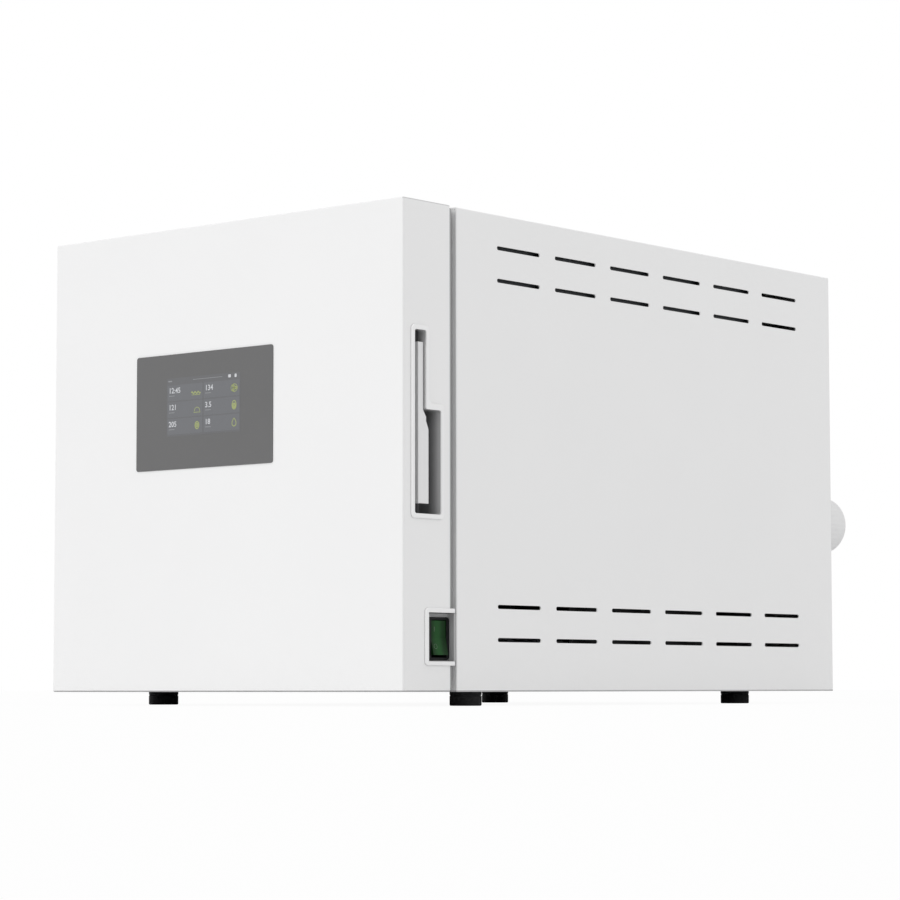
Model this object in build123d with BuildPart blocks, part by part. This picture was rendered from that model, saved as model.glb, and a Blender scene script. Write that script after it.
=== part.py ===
from build123d import *
import math
import os

os.makedirs("parts", exist_ok=True)

# Bench autoclave with a side-hinged door, in millimetres.
# +Z is up, -Y is the door's side, and the origin is under the middle of the whole.

# Cabinet and door
CABINET_WIDTH = 445.0
DOOR_HEIGHT = 429.4
BODY_HEIGHT = 428.6
DOOR_DEPTH = 62.0
LINER_PROUD = 5.3
DOOR_GAP = 3.6
SKIN = 1.2
BASE_SHEET = 2.0
FRAME_SHEET = 1.5
FRAME_SETBACK = 0.5
EDGE_ROUND = 1.5
FIT = 0.3
SEAT_FIT = 0.05

# Feet
FOOT_RADIUS = 14.35
FOOT_HEIGHT = 12.5
FRONT_FOOT_INSET = 29.6
FRONT_FOOT_SETBACK = 47.3
REAR_FOOT_INSET = 63.8
REAR_FOOT_MARGIN = 84.4

# Cooling slots in the cover's sides
VENT_LENGTH = 61.8
VENT_HEIGHT = 3.7
VENT_PITCH = 84.0
VENT_COUNT = 6
VENT_FIRST = 88.0
VENT_ROWS = (46.0, 75.5, 369.0, 398.5)

# Display
PANEL_WIDTH = 176.0
PANEL_HEIGHT = 107.0
PANEL_PROUD = 0.8
PANEL_ROUND = 2.5
PANEL_OFFSET = -20.8
PANEL_CENTRE = 258.4
SCREEN_WIDTH = 95.0
SCREEN_HEIGHT = 54.0
SCREEN_RISE = 4.3
MODULE_DEPTH = 8.0
MODULE_MARGIN = 6.0
BOARD_SHEET = 1.6

# Handle recess in the door's right side
RECESS_FRONT = 13.4
RECESS_NARROW = 28.8
RECESS_WIDE = 48.6
RECESS_BOTTOM = 154.2
RECESS_STEP = 245.6
RECESS_TOP = 314.7
RECESS_ROUND = 2.0
RIM_FRONT = 3.6
RIM_REAR = 4.2
RIM_PROUD = 1.8
RIM_ROUND = 4.0
POCKET_DEPTH = 24.0
POCKET_WALL = 1.5

# Handle lever and the plunger that pushes the door off its catch
LEVER_FRONT = 21.1
LEVER_NARROW = 27.8
LEVER_WIDE = 35.0
LEVER_BOTTOM = 163.3
LEVER_TOP = 304.4
LEVER_SHEET = 3.5
LEVER_SETBACK = 1.2
LEVER_PIVOT_INSET = 6.5
LEVER_PIVOT_DEPTH = 24.0
LEVER_BARREL_RADIUS = 3.2
LEVER_ARM = 10.5
LEVER_ARM_THICKNESS = 4.6
LEVER_ARM_HEIGHT = 10.0
LEVER_ARM_CENTRE = 274.0
PIN_RADIUS = 1.5
PLUNGER_RADIUS = 3.5
PLUNGER_STROKE = 6.3

# Switch notch in the door's right side, and the switch behind it
NOTCH_FRONT = 31.9
NOTCH_BOTTOM = 26.5
NOTCH_TOP = 68.9
NOTCH_BAR_FRONT = 3.9
NOTCH_BAR = 3.8
NOTCH_CORNER = 3.4
BEZEL_CORNER = 3.0
NOTCH_DEPTH = 46.0
SWITCH_SETBACK = 7.0
BEZEL_HEIGHT = 37.4
BEZEL_WIDTH = 28.8
BEZEL_PROUD = 1.5
ROCKER_HEIGHT = 32.0
ROCKER_WIDTH = 19.6
ROCKER_TILT = 6.0
ROCKER_SETBACK = 4.6
ROCKER_PIN_RADIUS = 1.2
ROCKER_PIN_REACH = 1.8

# Door hinge
HINGE_INSET = 12.0
HINGE_SETBACK = 17.3
HINGE_PIN_RADIUS = 4.0
KNUCKLE_RADIUS = 8.0
KNUCKLE_HEIGHT = 14.0
LUG_HEIGHT = 10.0
LUG_HEIGHTS = (80.0, 340.0)

# Pressure plate, chamber and its jacket
CHAMBER_HEIGHT = 205.0
CHAMBER_RADIUS = 125.0
CHAMBER_WALL = 3.0
CHAMBER_LENGTH = 442.0
DISH_DEPTH = 28.0
FLANGE_RADIUS = 150.0
FLANGE_THICKNESS = 8.0
SEAT_DEPTH = 7.4
PLATE_RADIUS = 140.0
PLATE_THICKNESS = 8.0
GASKET_PROUD = 2.0
GASKET_WIDTH = 10.0
SPINDLE_RADIUS = 12.0
BRIDGE_THICKNESS = 12.0
BRIDGE_SETBACK = 37.3
BAND_SHEET = 3.0
INSULATION = 17.0
JACKET_CLEARANCE = 2.0
SERVICE_BAY = 123.6

# Trays and their rack
TRAY_COUNT = 4
TRAY_PITCH = 38.0
TRAY_SETBACK = 14.0
TRAY_CLEARANCE = 42.0
TRAY_DEPTH = 18.0
TRAY_FIRST = -72.0
RACK_HALF_WIDTH = 95.0
RACK_HALF_HEIGHT = 78.0
RACK_LEDGE = 7.0
RACK_WIRE = 1.6
TIN = 1.0

# Catch and lock
CATCH_INSET = 35.0
CATCH_HEIGHT = 115.0
TONGUE_WIDTH = 16.0
TONGUE_THICKNESS = 5.0
TONGUE_REACH = 29.0
ROLLER_RADIUS = 4.0
ROLLER_LENGTH = 23.0
AXLE_RADIUS = 1.5
BOLT_RADIUS = 3.5
BOLT_STROKE = 8.0

# Water tanks and the filler lid
TANK_LENGTH = 460.0
TANK_HEIGHT = 58.0
TANK_WALL = 3.0
TANK_GAP = 8.0
MOUTH_RADIUS = 32.0
FILLER_SETBACK = 150.0
LID_WIDTH = 120.0
LID_LENGTH = 100.0
LID_SHEET = 3.0

# Rear fittings
FILTER_RADIUS = 29.0
FILTER_PROUD = 40.0
FILTER_INSET = 35.5
FILTER_HEIGHT = 172.8
FAN_SIZE = 120.0
FAN_DEPTH = 25.0
FAN_HEIGHT = 290.0
FAN_BLADES = 7
GRILLE_SLOTS = 11
GRILLE_PITCH = 9.0
DRAIN_SPACING = 50.0
DRAIN_HEIGHT = 46.0
DRAIN_BODY = 20.0
DRAIN_STEM = 14.0
STEM_RADIUS = 3.0
KNOB_HALF_LENGTH = 13.0
BARB_RADIUS = 5.0
BARB_LENGTH = 18.0
PIPE_RADIUS = 4.0

# Places worked out from the sizes above
BODY_LENGTH = SEAT_DEPTH + FLANGE_THICKNESS + CHAMBER_LENGTH + INSULATION + JACKET_CLEARANCE + SERVICE_BAY
TRAY_LENGTH = CHAMBER_LENGTH - TRAY_CLEARANCE
X_MID = -RIM_PROUD / 2
X_LEFT = X_MID - CABINET_WIDTH / 2
X_RIGHT = X_MID + CABINET_WIDTH / 2
Y_DOOR = -(DOOR_DEPTH + LINER_PROUD + DOOR_GAP + BODY_LENGTH + FILTER_PROUD - PANEL_PROUD) / 2
Y_SKIN = Y_DOOR + DOOR_DEPTH
Y_LINER = Y_SKIN + LINER_PROUD
Y_BODY = Y_LINER + DOOR_GAP
Y_FRAME = Y_BODY + FRAME_SETBACK
Y_INNER = Y_FRAME + FRAME_SHEET
Y_SEAT = Y_BODY + SEAT_DEPTH
Y_REAR = Y_BODY + BODY_LENGTH
Y_REAR_INNER = Y_REAR - 2 * FRAME_SHEET
Z_BASE = FOOT_HEIGHT
Z_FLOOR = Z_BASE + BASE_SHEET
Z_TOP = Z_BASE + BODY_HEIGHT
Z_CHAMBER = Z_BASE + CHAMBER_HEIGHT
X_HINGE = X_LEFT + HINGE_INSET
Y_HINGE = Y_LINER - HINGE_SETBACK
Y_BRIDGE = Y_LINER - BRIDGE_SETBACK
X_PIVOT = X_RIGHT - LEVER_PIVOT_INSET
Y_PIVOT = Y_DOOR + LEVER_PIVOT_DEPTH
X_CATCH = X_RIGHT - CATCH_INSET
Z_CATCH = Z_BASE + CATCH_HEIGHT
X_SWITCH = X_RIGHT - SWITCH_SETBACK
Z_SWITCH = Z_BASE + (NOTCH_BOTTOM + NOTCH_TOP) / 2 - 1.3
X_PLUNGER = X_PIVOT - LEVER_ARM
Y_PLATE = Y_SEAT - FIT - GASKET_PROUD - PLATE_THICKNESS
Y_JACKET = Y_SEAT + FLANGE_THICKNESS + CHAMBER_LENGTH + INSULATION + JACKET_CLEARANCE
JACKET_RADIUS = CHAMBER_RADIUS + CHAMBER_WALL + BAND_SHEET + FIT + INSULATION
Z_SHELF = Z_CHAMBER + FLANGE_RADIUS + 2
CORNERS = ((-1, -1), (-1, 1), (1, -1), (1, 1))

TURN = {"X": (0, 90, 0), "Y": (-90, 0, 0), "Z": (0, 0, 0)}
PIECES = {}


def block(x, y, z, mode=Mode.ADD):
    """A block between two corners: x, y and z are pairs with the low end first."""
    with Locations(((x[0] + x[1]) / 2, (y[0] + y[1]) / 2, (z[0] + z[1]) / 2)):
        Box(x[1] - x[0], y[1] - y[0], z[1] - z[0], mode=mode)


def rod(along, start, radius, length, mode=Mode.ADD):
    """A round bar that starts at a point and runs along +X, +Y or +Z."""
    with Locations(start):
        Cylinder(radius, length, rotation=TURN[along], align=(Align.CENTER, Align.CENTER, Align.MIN),
                 mode=mode)


def bore(along, start, radius, length):
    """A round hole that starts at a point and runs along +X, +Y or +Z."""
    rod(along, start, radius, length, mode=Mode.SUBTRACT)


def around(middle, half):
    """A pair of ends, half each side of the middle."""
    return (middle - half, middle + half)


def stepped_face(front, narrow, wide, bottom, step, top, radius):
    """The handle recess seen from the side: narrow above its step and wide below it."""
    points = [(Y_DOOR + front, Z_BASE + bottom), (Y_DOOR + wide, Z_BASE + bottom),
              (Y_DOOR + wide, Z_BASE + step), (Y_DOOR + narrow, Z_BASE + step),
              (Y_DOOR + narrow, Z_BASE + top), (Y_DOOR + front, Z_BASE + top)]
    with BuildSketch() as outline:
        with BuildLine():
            Polyline(*points, close=True)
        make_face()
        fillet(outline.vertices(), radius)
    return outline.sketch


RECESS = stepped_face(RECESS_FRONT, RECESS_NARROW, RECESS_WIDE, RECESS_BOTTOM, RECESS_STEP,
                      RECESS_TOP, RECESS_ROUND)
RECESS_BOX = stepped_face(RECESS_FRONT - POCKET_WALL, RECESS_NARROW + POCKET_WALL,
                          RECESS_WIDE + POCKET_WALL, RECESS_BOTTOM - POCKET_WALL,
                          RECESS_STEP + POCKET_WALL, RECESS_TOP + POCKET_WALL, RECESS_ROUND)
RECESS_CUT = stepped_face(RECESS_FRONT - POCKET_WALL - FIT, RECESS_NARROW + POCKET_WALL + FIT,
                          RECESS_WIDE + POCKET_WALL + FIT, RECESS_BOTTOM - POCKET_WALL - FIT,
                          RECESS_STEP + POCKET_WALL + FIT, RECESS_TOP + POCKET_WALL + FIT, RECESS_ROUND)
RECESS_RIM = stepped_face(RECESS_FRONT - RIM_FRONT, RECESS_NARROW + RIM_REAR, RECESS_WIDE + RIM_REAR,
                          RECESS_BOTTOM - RIM_REAR, RECESS_STEP + RIM_REAR + 1.4, RECESS_TOP + RIM_REAR,
                          RIM_ROUND)

# Door shell: a pan of painted sheet, open at the rear, cut for the display, handle, switch and hinges
with BuildPart() as door_shell:
    block((X_LEFT, X_RIGHT), (Y_DOOR, Y_SKIN), (Z_BASE, Z_BASE + DOOR_HEIGHT))
    fillet(door_shell.edges().filter_by(Axis.Y) + door_shell.edges().group_by(Axis.Y)[0], EDGE_ROUND)
    offset(amount=-SKIN, openings=door_shell.faces().sort_by(Axis.Y)[-1])
    block(around(X_MID + PANEL_OFFSET, PANEL_WIDTH / 2 - 8), around(Y_DOOR, 5),
          around(Z_BASE + PANEL_CENTRE, PANEL_HEIGHT / 2 - 8), Mode.SUBTRACT)
    with BuildSketch(Plane.YZ.offset(X_RIGHT - 3)):
        add(RECESS_CUT)
    extrude(amount=6, mode=Mode.SUBTRACT)
    block((X_RIGHT - 5, X_RIGHT + 1), (Y_DOOR + NOTCH_FRONT - 2, Y_SKIN + 1),
          (Z_BASE + NOTCH_BOTTOM - 2, Z_BASE + NOTCH_TOP + 2), Mode.SUBTRACT)
    for lug in LUG_HEIGHTS:
        block((X_LEFT - 1, X_LEFT + 5), (Y_HINGE - 16, Y_SKIN + 1),
              around(Z_BASE + lug, LUG_HEIGHT / 2 + 1), Mode.SUBTRACT)
PIECES["door_shell"] = door_shell

# Door liner: a moulded tray that closes the shell's rear, with a round window for the pressure plate
LINER_WALL = 2.5
LINER_TUCK = 6.0
LINER_INSET = SKIN + 0.5
with BuildPart() as door_liner:
    block((X_LEFT + LINER_INSET, X_RIGHT - LINER_INSET), (Y_SKIN - LINER_TUCK, Y_LINER),
          (Z_BASE + LINER_INSET, Z_BASE + DOOR_HEIGHT - LINER_INSET))
    fillet(door_liner.edges().filter_by(Axis.Y) + door_liner.edges().group_by(Axis.Y)[-1], 2)
    offset(amount=-LINER_WALL, openings=door_liner.faces().sort_by(Axis.Y)[0])
    bore("Y", (X_MID, Y_SKIN - LINER_TUCK, Z_CHAMBER), PLATE_RADIUS + 6, LINER_TUCK + LINER_PROUD + 1)
    bore("Y", (X_PLUNGER, Y_SKIN, Z_BASE + LEVER_ARM_CENTRE), PLUNGER_RADIUS + 0.5, LINER_PROUD + 1)
    block(around(X_CATCH, TONGUE_WIDTH / 2 + 1), (Y_SKIN, Y_LINER + 1),
          around(Z_CATCH, TONGUE_THICKNESS / 2 + 1), Mode.SUBTRACT)
    block((X_RIGHT - NOTCH_DEPTH - 2, X_RIGHT + 1), (Y_SKIN - LINER_TUCK - 1, Y_LINER + 1),
          (Z_BASE + NOTCH_BOTTOM - 2, Z_BASE + NOTCH_TOP + 2), Mode.SUBTRACT)
    for lug in LUG_HEIGHTS:
        block((X_LEFT - 1, X_HINGE + KNUCKLE_RADIUS), (Y_SKIN - LINER_TUCK - 1, Y_LINER + 1),
              around(Z_BASE + lug, LUG_HEIGHT / 2 + 1), Mode.SUBTRACT)
PIECES["door_liner"] = door_liner

# Door bridge: the steel arm that carries the pressure plate, with its hinge knuckles and catch arm
POST_WIDTH = 20.0
STUD_RADIUS = 5.0
with BuildPart() as door_bridge:
    y_bar = (Y_BRIDGE, Y_BRIDGE + BRIDGE_THICKNESS)
    x_post = (X_HINGE + KNUCKLE_RADIUS + 2, X_HINGE + KNUCKLE_RADIUS + 2 + POST_WIDTH)
    x_arm = (X_CATCH - TONGUE_WIDTH / 2 - 22, X_CATCH - TONGUE_WIDTH / 2 - 4)
    block((x_post[0], x_arm[1]), y_bar, around(Z_CHAMBER, 30))
    block(x_post, y_bar, (Z_BASE + LUG_HEIGHTS[0] - 22, Z_BASE + LUG_HEIGHTS[1] + 22))
    block(x_arm, y_bar, (Z_CATCH - 20, Z_BASE + LEVER_ARM_CENTRE + 8))
    block((x_arm[0], X_CATCH + TONGUE_WIDTH / 2), y_bar, around(Z_CATCH, 14))
    for lug in LUG_HEIGHTS:
        for side in (-1, 1):
            middle = Z_BASE + lug + side * (LUG_HEIGHT / 2 + 0.5 + KNUCKLE_HEIGHT / 2)
            rod("Z", (X_HINGE, Y_HINGE, middle - KNUCKLE_HEIGHT / 2), KNUCKLE_RADIUS, KNUCKLE_HEIGHT)
            block((X_HINGE, x_post[0] + 4), (Y_BRIDGE + BRIDGE_THICKNESS / 2, Y_HINGE),
                  around(middle, KNUCKLE_HEIGHT / 2))
        bore("Z", (X_HINGE, Y_HINGE, Z_BASE + lug - 30), HINGE_PIN_RADIUS, 60)
    for x_stud in (sum(x_post) / 2, sum(x_arm) / 2):
        for z_stud in (Z_CATCH - 10, Z_BASE + LEVER_ARM_CENTRE - 5):
            rod("Y", (x_stud, Y_DOOR + SKIN, z_stud), STUD_RADIUS, Y_BRIDGE - Y_DOOR - SKIN)
    rod("Y", (X_MID, Y_BRIDGE + BRIDGE_THICKNESS / 2, Z_CHAMBER), SPINDLE_RADIUS,
        Y_PLATE - Y_BRIDGE - BRIDGE_THICKNESS / 2)
    y_guide = (Y_BRIDGE + BRIDGE_THICKNESS - 1, Y_BRIDGE + BRIDGE_THICKNESS + 10)
    block((x_arm[0], X_PLUNGER + PLUNGER_RADIUS + 3), y_guide, around(Z_BASE + LEVER_ARM_CENTRE, 7))
    bore("Y", (X_PLUNGER, y_guide[0] - 1, Z_BASE + LEVER_ARM_CENTRE), PLUNGER_RADIUS + SEAT_FIT, 13)
PIECES["door_bridge"] = door_bridge

# Hinge pins: headed steel pins, pressed in the door's knuckles and turning in the bracket's lugs
with BuildPart() as hinge_pins:
    for lug in LUG_HEIGHTS:
        low = Z_BASE + lug - LUG_HEIGHT / 2 - 0.5 - KNUCKLE_HEIGHT
        length = LUG_HEIGHT + 1 + 2 * KNUCKLE_HEIGHT
        rod("Z", (X_HINGE, Y_HINGE, low), HINGE_PIN_RADIUS, length)
        rod("Z", (X_HINGE, Y_HINGE, low + length), HINGE_PIN_RADIUS + 2, 2)
PIECES["hinge_pins"] = hinge_pins

# Pressure plate: a stainless disc with a stiffening step, and a groove for its gasket
GASKET_RADIUS = PLATE_RADIUS - 2
with BuildPart() as pressure_plate:
    rod("Y", (X_MID, Y_PLATE, Z_CHAMBER), PLATE_RADIUS, PLATE_THICKNESS)
    with Locations(Plane(origin=(X_MID, Y_PLATE + PLATE_THICKNESS, Z_CHAMBER), z_dir=(0, 1, 0)).location):
        Cylinder(GASKET_RADIUS, 3, mode=Mode.SUBTRACT, align=(Align.CENTER, Align.CENTER, Align.MAX))
        Cylinder(GASKET_RADIUS - GASKET_WIDTH, 3, align=(Align.CENTER, Align.CENTER, Align.MAX))
    bore("Y", (X_MID, Y_PLATE + PLATE_THICKNESS - 4, Z_CHAMBER), PLATE_RADIUS - 30, 5)
PIECES["pressure_plate"] = pressure_plate

# Gasket: the silicone ring that seals against the chamber's flange
with BuildPart() as door_gasket:
    start = (X_MID, Y_PLATE + PLATE_THICKNESS - 3, Z_CHAMBER)
    rod("Y", start, GASKET_RADIUS - SEAT_FIT, 3 + GASKET_PROUD)
    bore("Y", start, GASKET_RADIUS - GASKET_WIDTH + SEAT_FIT, 4 + GASKET_PROUD)
PIECES["door_gasket"] = door_gasket

# Display panel: a glossy cover plate, set on the door's front
with BuildPart() as display_panel:
    with BuildSketch(Plane.XZ.offset(-Y_DOOR)):
        with Locations((X_MID + PANEL_OFFSET, Z_BASE + PANEL_CENTRE)):
            RectangleRounded(PANEL_WIDTH, PANEL_HEIGHT, PANEL_ROUND)
    extrude(amount=PANEL_PROUD)
PIECES["display_panel"] = display_panel

# Display module, its board and the bracket that holds both behind the panel
Z_SCREEN = Z_BASE + PANEL_CENTRE + SCREEN_RISE
X_SCREEN = X_MID + PANEL_OFFSET
with BuildPart() as display_module:
    block(around(X_SCREEN, SCREEN_WIDTH / 2 + MODULE_MARGIN), (Y_DOOR, Y_DOOR + MODULE_DEPTH),
          around(Z_SCREEN, SCREEN_HEIGHT / 2 + MODULE_MARGIN))
PIECES["display_module"] = display_module

with BuildPart() as display_board:
    block(around(X_SCREEN, SCREEN_WIDTH / 2 + MODULE_MARGIN + 8),
          (Y_DOOR + MODULE_DEPTH, Y_DOOR + MODULE_DEPTH + BOARD_SHEET),
          around(Z_SCREEN, SCREEN_HEIGHT / 2 + MODULE_MARGIN))
PIECES["display_board"] = display_board

with BuildPart() as display_bracket:
    y_back = Y_DOOR + MODULE_DEPTH + BOARD_SHEET
    x_half = PANEL_WIDTH / 2 + 6
    block(around(X_SCREEN, x_half), (y_back, y_back + FRAME_SHEET), around(Z_BASE + PANEL_CENTRE, 40))
    for side in (-1, 1):
        block(around(X_SCREEN + side * x_half, 6), (Y_DOOR + SKIN, Y_DOOR + SKIN + FRAME_SHEET),
              around(Z_BASE + PANEL_CENTRE, 40))
        block(around(X_SCREEN + side * (x_half - FRAME_SHEET), FRAME_SHEET / 2),
              (Y_DOOR + SKIN, y_back + FRAME_SHEET), around(Z_BASE + PANEL_CENTRE, 40))
PIECES["display_bracket"] = display_bracket

# Handle housing: the moulded pocket in the door's side with a raised rim, holding the lever's pin
with BuildPart() as handle_housing:
    with BuildSketch(Plane.YZ.offset(X_RIGHT)):
        add(RECESS_RIM)
    extrude(amount=RIM_PROUD)
    fillet(handle_housing.edges().group_by(Axis.X)[-1], RIM_PROUD * 0.6)
    with BuildSketch(Plane.YZ.offset(X_RIGHT - POCKET_DEPTH - POCKET_WALL)):
        add(RECESS_BOX)
    extrude(amount=POCKET_DEPTH + POCKET_WALL)
    with BuildSketch(Plane.YZ.offset(X_RIGHT - POCKET_DEPTH)):
        add(RECESS)
    extrude(amount=POCKET_DEPTH + RIM_PROUD, mode=Mode.SUBTRACT)
    bore("Z", (X_PIVOT, Y_PIVOT, Z_BASE + RECESS_BOTTOM - POCKET_WALL), PIN_RADIUS,
         RECESS_TOP - RECESS_BOTTOM + 2 * POCKET_WALL)
    block((X_RIGHT - POCKET_DEPTH - 2 * POCKET_WALL, X_RIGHT - 7),
          (Y_DOOR + RECESS_NARROW - 1, Y_DOOR + RECESS_NARROW + POCKET_WALL + 1),
          around(Z_BASE + LEVER_ARM_CENTRE, LEVER_ARM_HEIGHT / 2 + 3), Mode.SUBTRACT)
PIECES["handle_housing"] = handle_housing

# Handle pin: a plain steel pin from the top to the bottom of the pocket
with BuildPart() as handle_pin:
    rod("Z", (X_PIVOT, Y_PIVOT, Z_BASE + RECESS_BOTTOM - POCKET_WALL), PIN_RADIUS,
        RECESS_TOP - RECESS_BOTTOM + 2 * POCKET_WALL)
PIECES["handle_pin"] = handle_pin

# Handle lever: a flap with a narrow top and a wider grip, a barrel on its pin and a short inner arm
with BuildPart() as handle_lever:
    edge = (LEVER_NARROW + LEVER_WIDE) / 2
    outline = [(LEVER_FRONT, LEVER_BOTTOM), (LEVER_WIDE, LEVER_BOTTOM), (LEVER_WIDE, RECESS_STEP - 17.3),
               (edge + 0.4, RECESS_STEP - 10), (edge + 0.4, RECESS_STEP - 6.5),
               (LEVER_NARROW, RECESS_STEP - 0.5), (LEVER_NARROW, LEVER_TOP), (LEVER_FRONT, LEVER_TOP)]
    with BuildSketch(Plane.YZ.offset(X_RIGHT - LEVER_SETBACK - LEVER_SHEET)):
        with BuildLine():
            Polyline(*[(Y_DOOR + y, Z_BASE + z) for y, z in outline], close=True)
        make_face()
    extrude(amount=LEVER_SHEET)
    fillet(handle_lever.edges().group_by(Axis.X)[-1], 0.5)
    rod("Z", (X_PIVOT, Y_PIVOT, Z_BASE + LEVER_BOTTOM), LEVER_BARREL_RADIUS, LEVER_TOP - LEVER_BOTTOM)
    block((X_PIVOT - LEVER_ARM, X_PIVOT), around(Y_PIVOT, LEVER_ARM_THICKNESS / 2),
          around(Z_BASE + LEVER_ARM_CENTRE, LEVER_ARM_HEIGHT / 2))
    bore("Z", (X_PIVOT, Y_PIVOT, Z_BASE + LEVER_BOTTOM - 1), PIN_RADIUS + SEAT_FIT,
         LEVER_TOP - LEVER_BOTTOM + 2)
PIECES["handle_lever"] = handle_lever

# Release plunger: the rod that the lever's arm pushes back against the front frame
Y_PLUNGER = Y_PIVOT + LEVER_ARM_THICKNESS / 2 + FIT
Y_PLUNGER_TIP = Y_BODY - PLUNGER_STROKE - 0.1
with BuildPart() as release_plunger:
    rod("Y", (X_PLUNGER, Y_PLUNGER, Z_BASE + LEVER_ARM_CENTRE), PLUNGER_RADIUS, Y_PLUNGER_TIP - Y_PLUNGER)
    fillet(release_plunger.edges().group_by(Axis.Y)[-1], 1)
PIECES["release_plunger"] = release_plunger

# Catch tongue: a flat steel blade on the bridge, with a hole for the lock bolt
Y_TONGUE = Y_LINER + TONGUE_REACH
Y_BOLT = Y_TONGUE - 6.3
with BuildPart() as catch_tongue:
    block(around(X_CATCH, TONGUE_WIDTH / 2), (Y_BRIDGE + BRIDGE_THICKNESS, Y_TONGUE),
          around(Z_CATCH, TONGUE_THICKNESS / 2))
    fillet(catch_tongue.edges().filter_by(Axis.Z).group_by(Axis.Y)[-1], 4)
    block(around(X_CATCH, TONGUE_WIDTH / 2), (Y_BRIDGE + BRIDGE_THICKNESS, Y_BRIDGE + BRIDGE_THICKNESS + 5),
          around(Z_CATCH, 13))
    bore("Z", (X_CATCH, Y_BOLT, Z_CATCH - TONGUE_THICKNESS), BOLT_RADIUS + 0.7, 2 * TONGUE_THICKNESS)
PIECES["catch_tongue"] = catch_tongue

# Switch surround: the C-shaped moulding round the notch, with the notch's walls behind it
with BuildPart() as switch_surround:
    z_in = (Z_BASE + NOTCH_BOTTOM, Z_BASE + NOTCH_TOP)
    z_wall = (z_in[0] - POCKET_WALL, z_in[1] + POCKET_WALL)
    y_in = Y_DOOR + NOTCH_FRONT
    block((X_RIGHT - NOTCH_DEPTH - POCKET_WALL, X_RIGHT), (y_in - POCKET_WALL, Y_LINER), z_wall)
    block((X_RIGHT, X_RIGHT + RIM_PROUD), (y_in - NOTCH_BAR_FRONT, Y_LINER),
          (z_in[0] - NOTCH_BAR, z_in[1] + NOTCH_BAR))
    rim_corners = switch_surround.edges().filter_by(Axis.X).group_by(Axis.X)[-1]
    fillet(rim_corners.group_by(Axis.Y)[0], NOTCH_CORNER)
    rim_edges = switch_surround.faces().sort_by(Axis.X)[-1].edges()
    fillet(rim_edges, RIM_PROUD * 0.6)
    block((X_RIGHT - NOTCH_DEPTH, X_RIGHT + RIM_PROUD + 1), (y_in, Y_LINER + 1), z_in, Mode.SUBTRACT)
PIECES["switch_surround"] = switch_surround

# Body cover: an inverted U of painted sheet with cooling slots and the filler opening
Y_FILLER = Y_BODY + FILLER_SETBACK
X_FILLER = X_MID - CABINET_WIDTH / 4
Y_LID_HINGE = Y_FILLER + LID_LENGTH / 2
Z_LID_HINGE = Z_TOP + LID_SHEET
with BuildPart() as outer_cover:
    block((X_LEFT, X_RIGHT), (Y_BODY, Y_REAR), (Z_BASE, Z_TOP))
    fillet(outer_cover.edges().filter_by(Axis.Y).group_by(Axis.Z)[-1], EDGE_ROUND)
    block((X_LEFT + SKIN, X_RIGHT - SKIN), (Y_BODY - 1, Y_REAR + 1), (Z_BASE - 1, Z_TOP - SKIN),
          Mode.SUBTRACT)
    with BuildSketch(Plane.YZ.offset(X_LEFT - 1)):
        for row in VENT_ROWS:
            for i in range(VENT_COUNT):
                with Locations((Y_BODY + VENT_FIRST + i * VENT_PITCH, Z_BASE + row)):
                    SlotOverall(VENT_LENGTH, VENT_HEIGHT)
    extrude(amount=CABINET_WIDTH + 2, mode=Mode.SUBTRACT)
    block(around(X_FILLER, LID_WIDTH / 2 - 6), around(Y_FILLER, LID_LENGTH / 2 - 6),
          (Z_TOP - 5, Z_TOP + 1), Mode.SUBTRACT)
    for side in (-1, 1):
        x_ear = X_FILLER + side * (LID_WIDTH / 2 - 11.7)
        block(around(x_ear, 3), around(Y_LID_HINGE, 2.6), (Z_TOP - SKIN, Z_LID_HINGE))
        rod("X", (x_ear - 3, Y_LID_HINGE, Z_LID_HINGE), 2.6, 6)
    rod("X", (X_FILLER - LID_WIDTH / 2 + 10, Y_LID_HINGE, Z_LID_HINGE), 1, LID_WIDTH - 20)
PIECES["outer_cover"] = outer_cover

# Base tray: the folded steel floor with air slots, between the front frame and the rear panel
with BuildPart() as base_tray:
    x_tray = (X_LEFT + SKIN, X_RIGHT - SKIN)
    y_tray = (Y_INNER, Y_REAR_INNER)
    block(x_tray, y_tray, (Z_BASE, Z_BASE + 24))
    block((x_tray[0] + BASE_SHEET, x_tray[1] - BASE_SHEET), (y_tray[0] - 1, y_tray[1] + 1),
          (Z_FLOOR, Z_BASE + 25), Mode.SUBTRACT)
    with BuildSketch(Plane.XY.offset(Z_BASE - 1)):
        with Locations((X_MID, Y_BODY + 300)):
            with GridLocations(52, 16, 5, 8):
                SlotOverall(40, 4)
    extrude(amount=BASE_SHEET + 2, mode=Mode.SUBTRACT)
PIECES["base_tray"] = base_tray

# Feet: four rubber feet with a rounded lower edge, screwed under the floor
Y_FRONT_FEET = Y_BODY + FRONT_FOOT_SETBACK
Y_REAR_FEET = Y_REAR - REAR_FOOT_MARGIN
with BuildPart() as feet:
    for side in (-1, 1):
        rod("Z", (X_MID + side * (CABINET_WIDTH / 2 - FRONT_FOOT_INSET), Y_FRONT_FEET, 0), FOOT_RADIUS,
            FOOT_HEIGHT)
        rod("Z", (X_MID + side * (CABINET_WIDTH / 2 - REAR_FOOT_INSET), Y_REAR_FEET, 0), FOOT_RADIUS,
            FOOT_HEIGHT)
    fillet(feet.edges().group_by(Axis.Z)[0], 1.2)
PIECES["feet"] = feet

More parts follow.
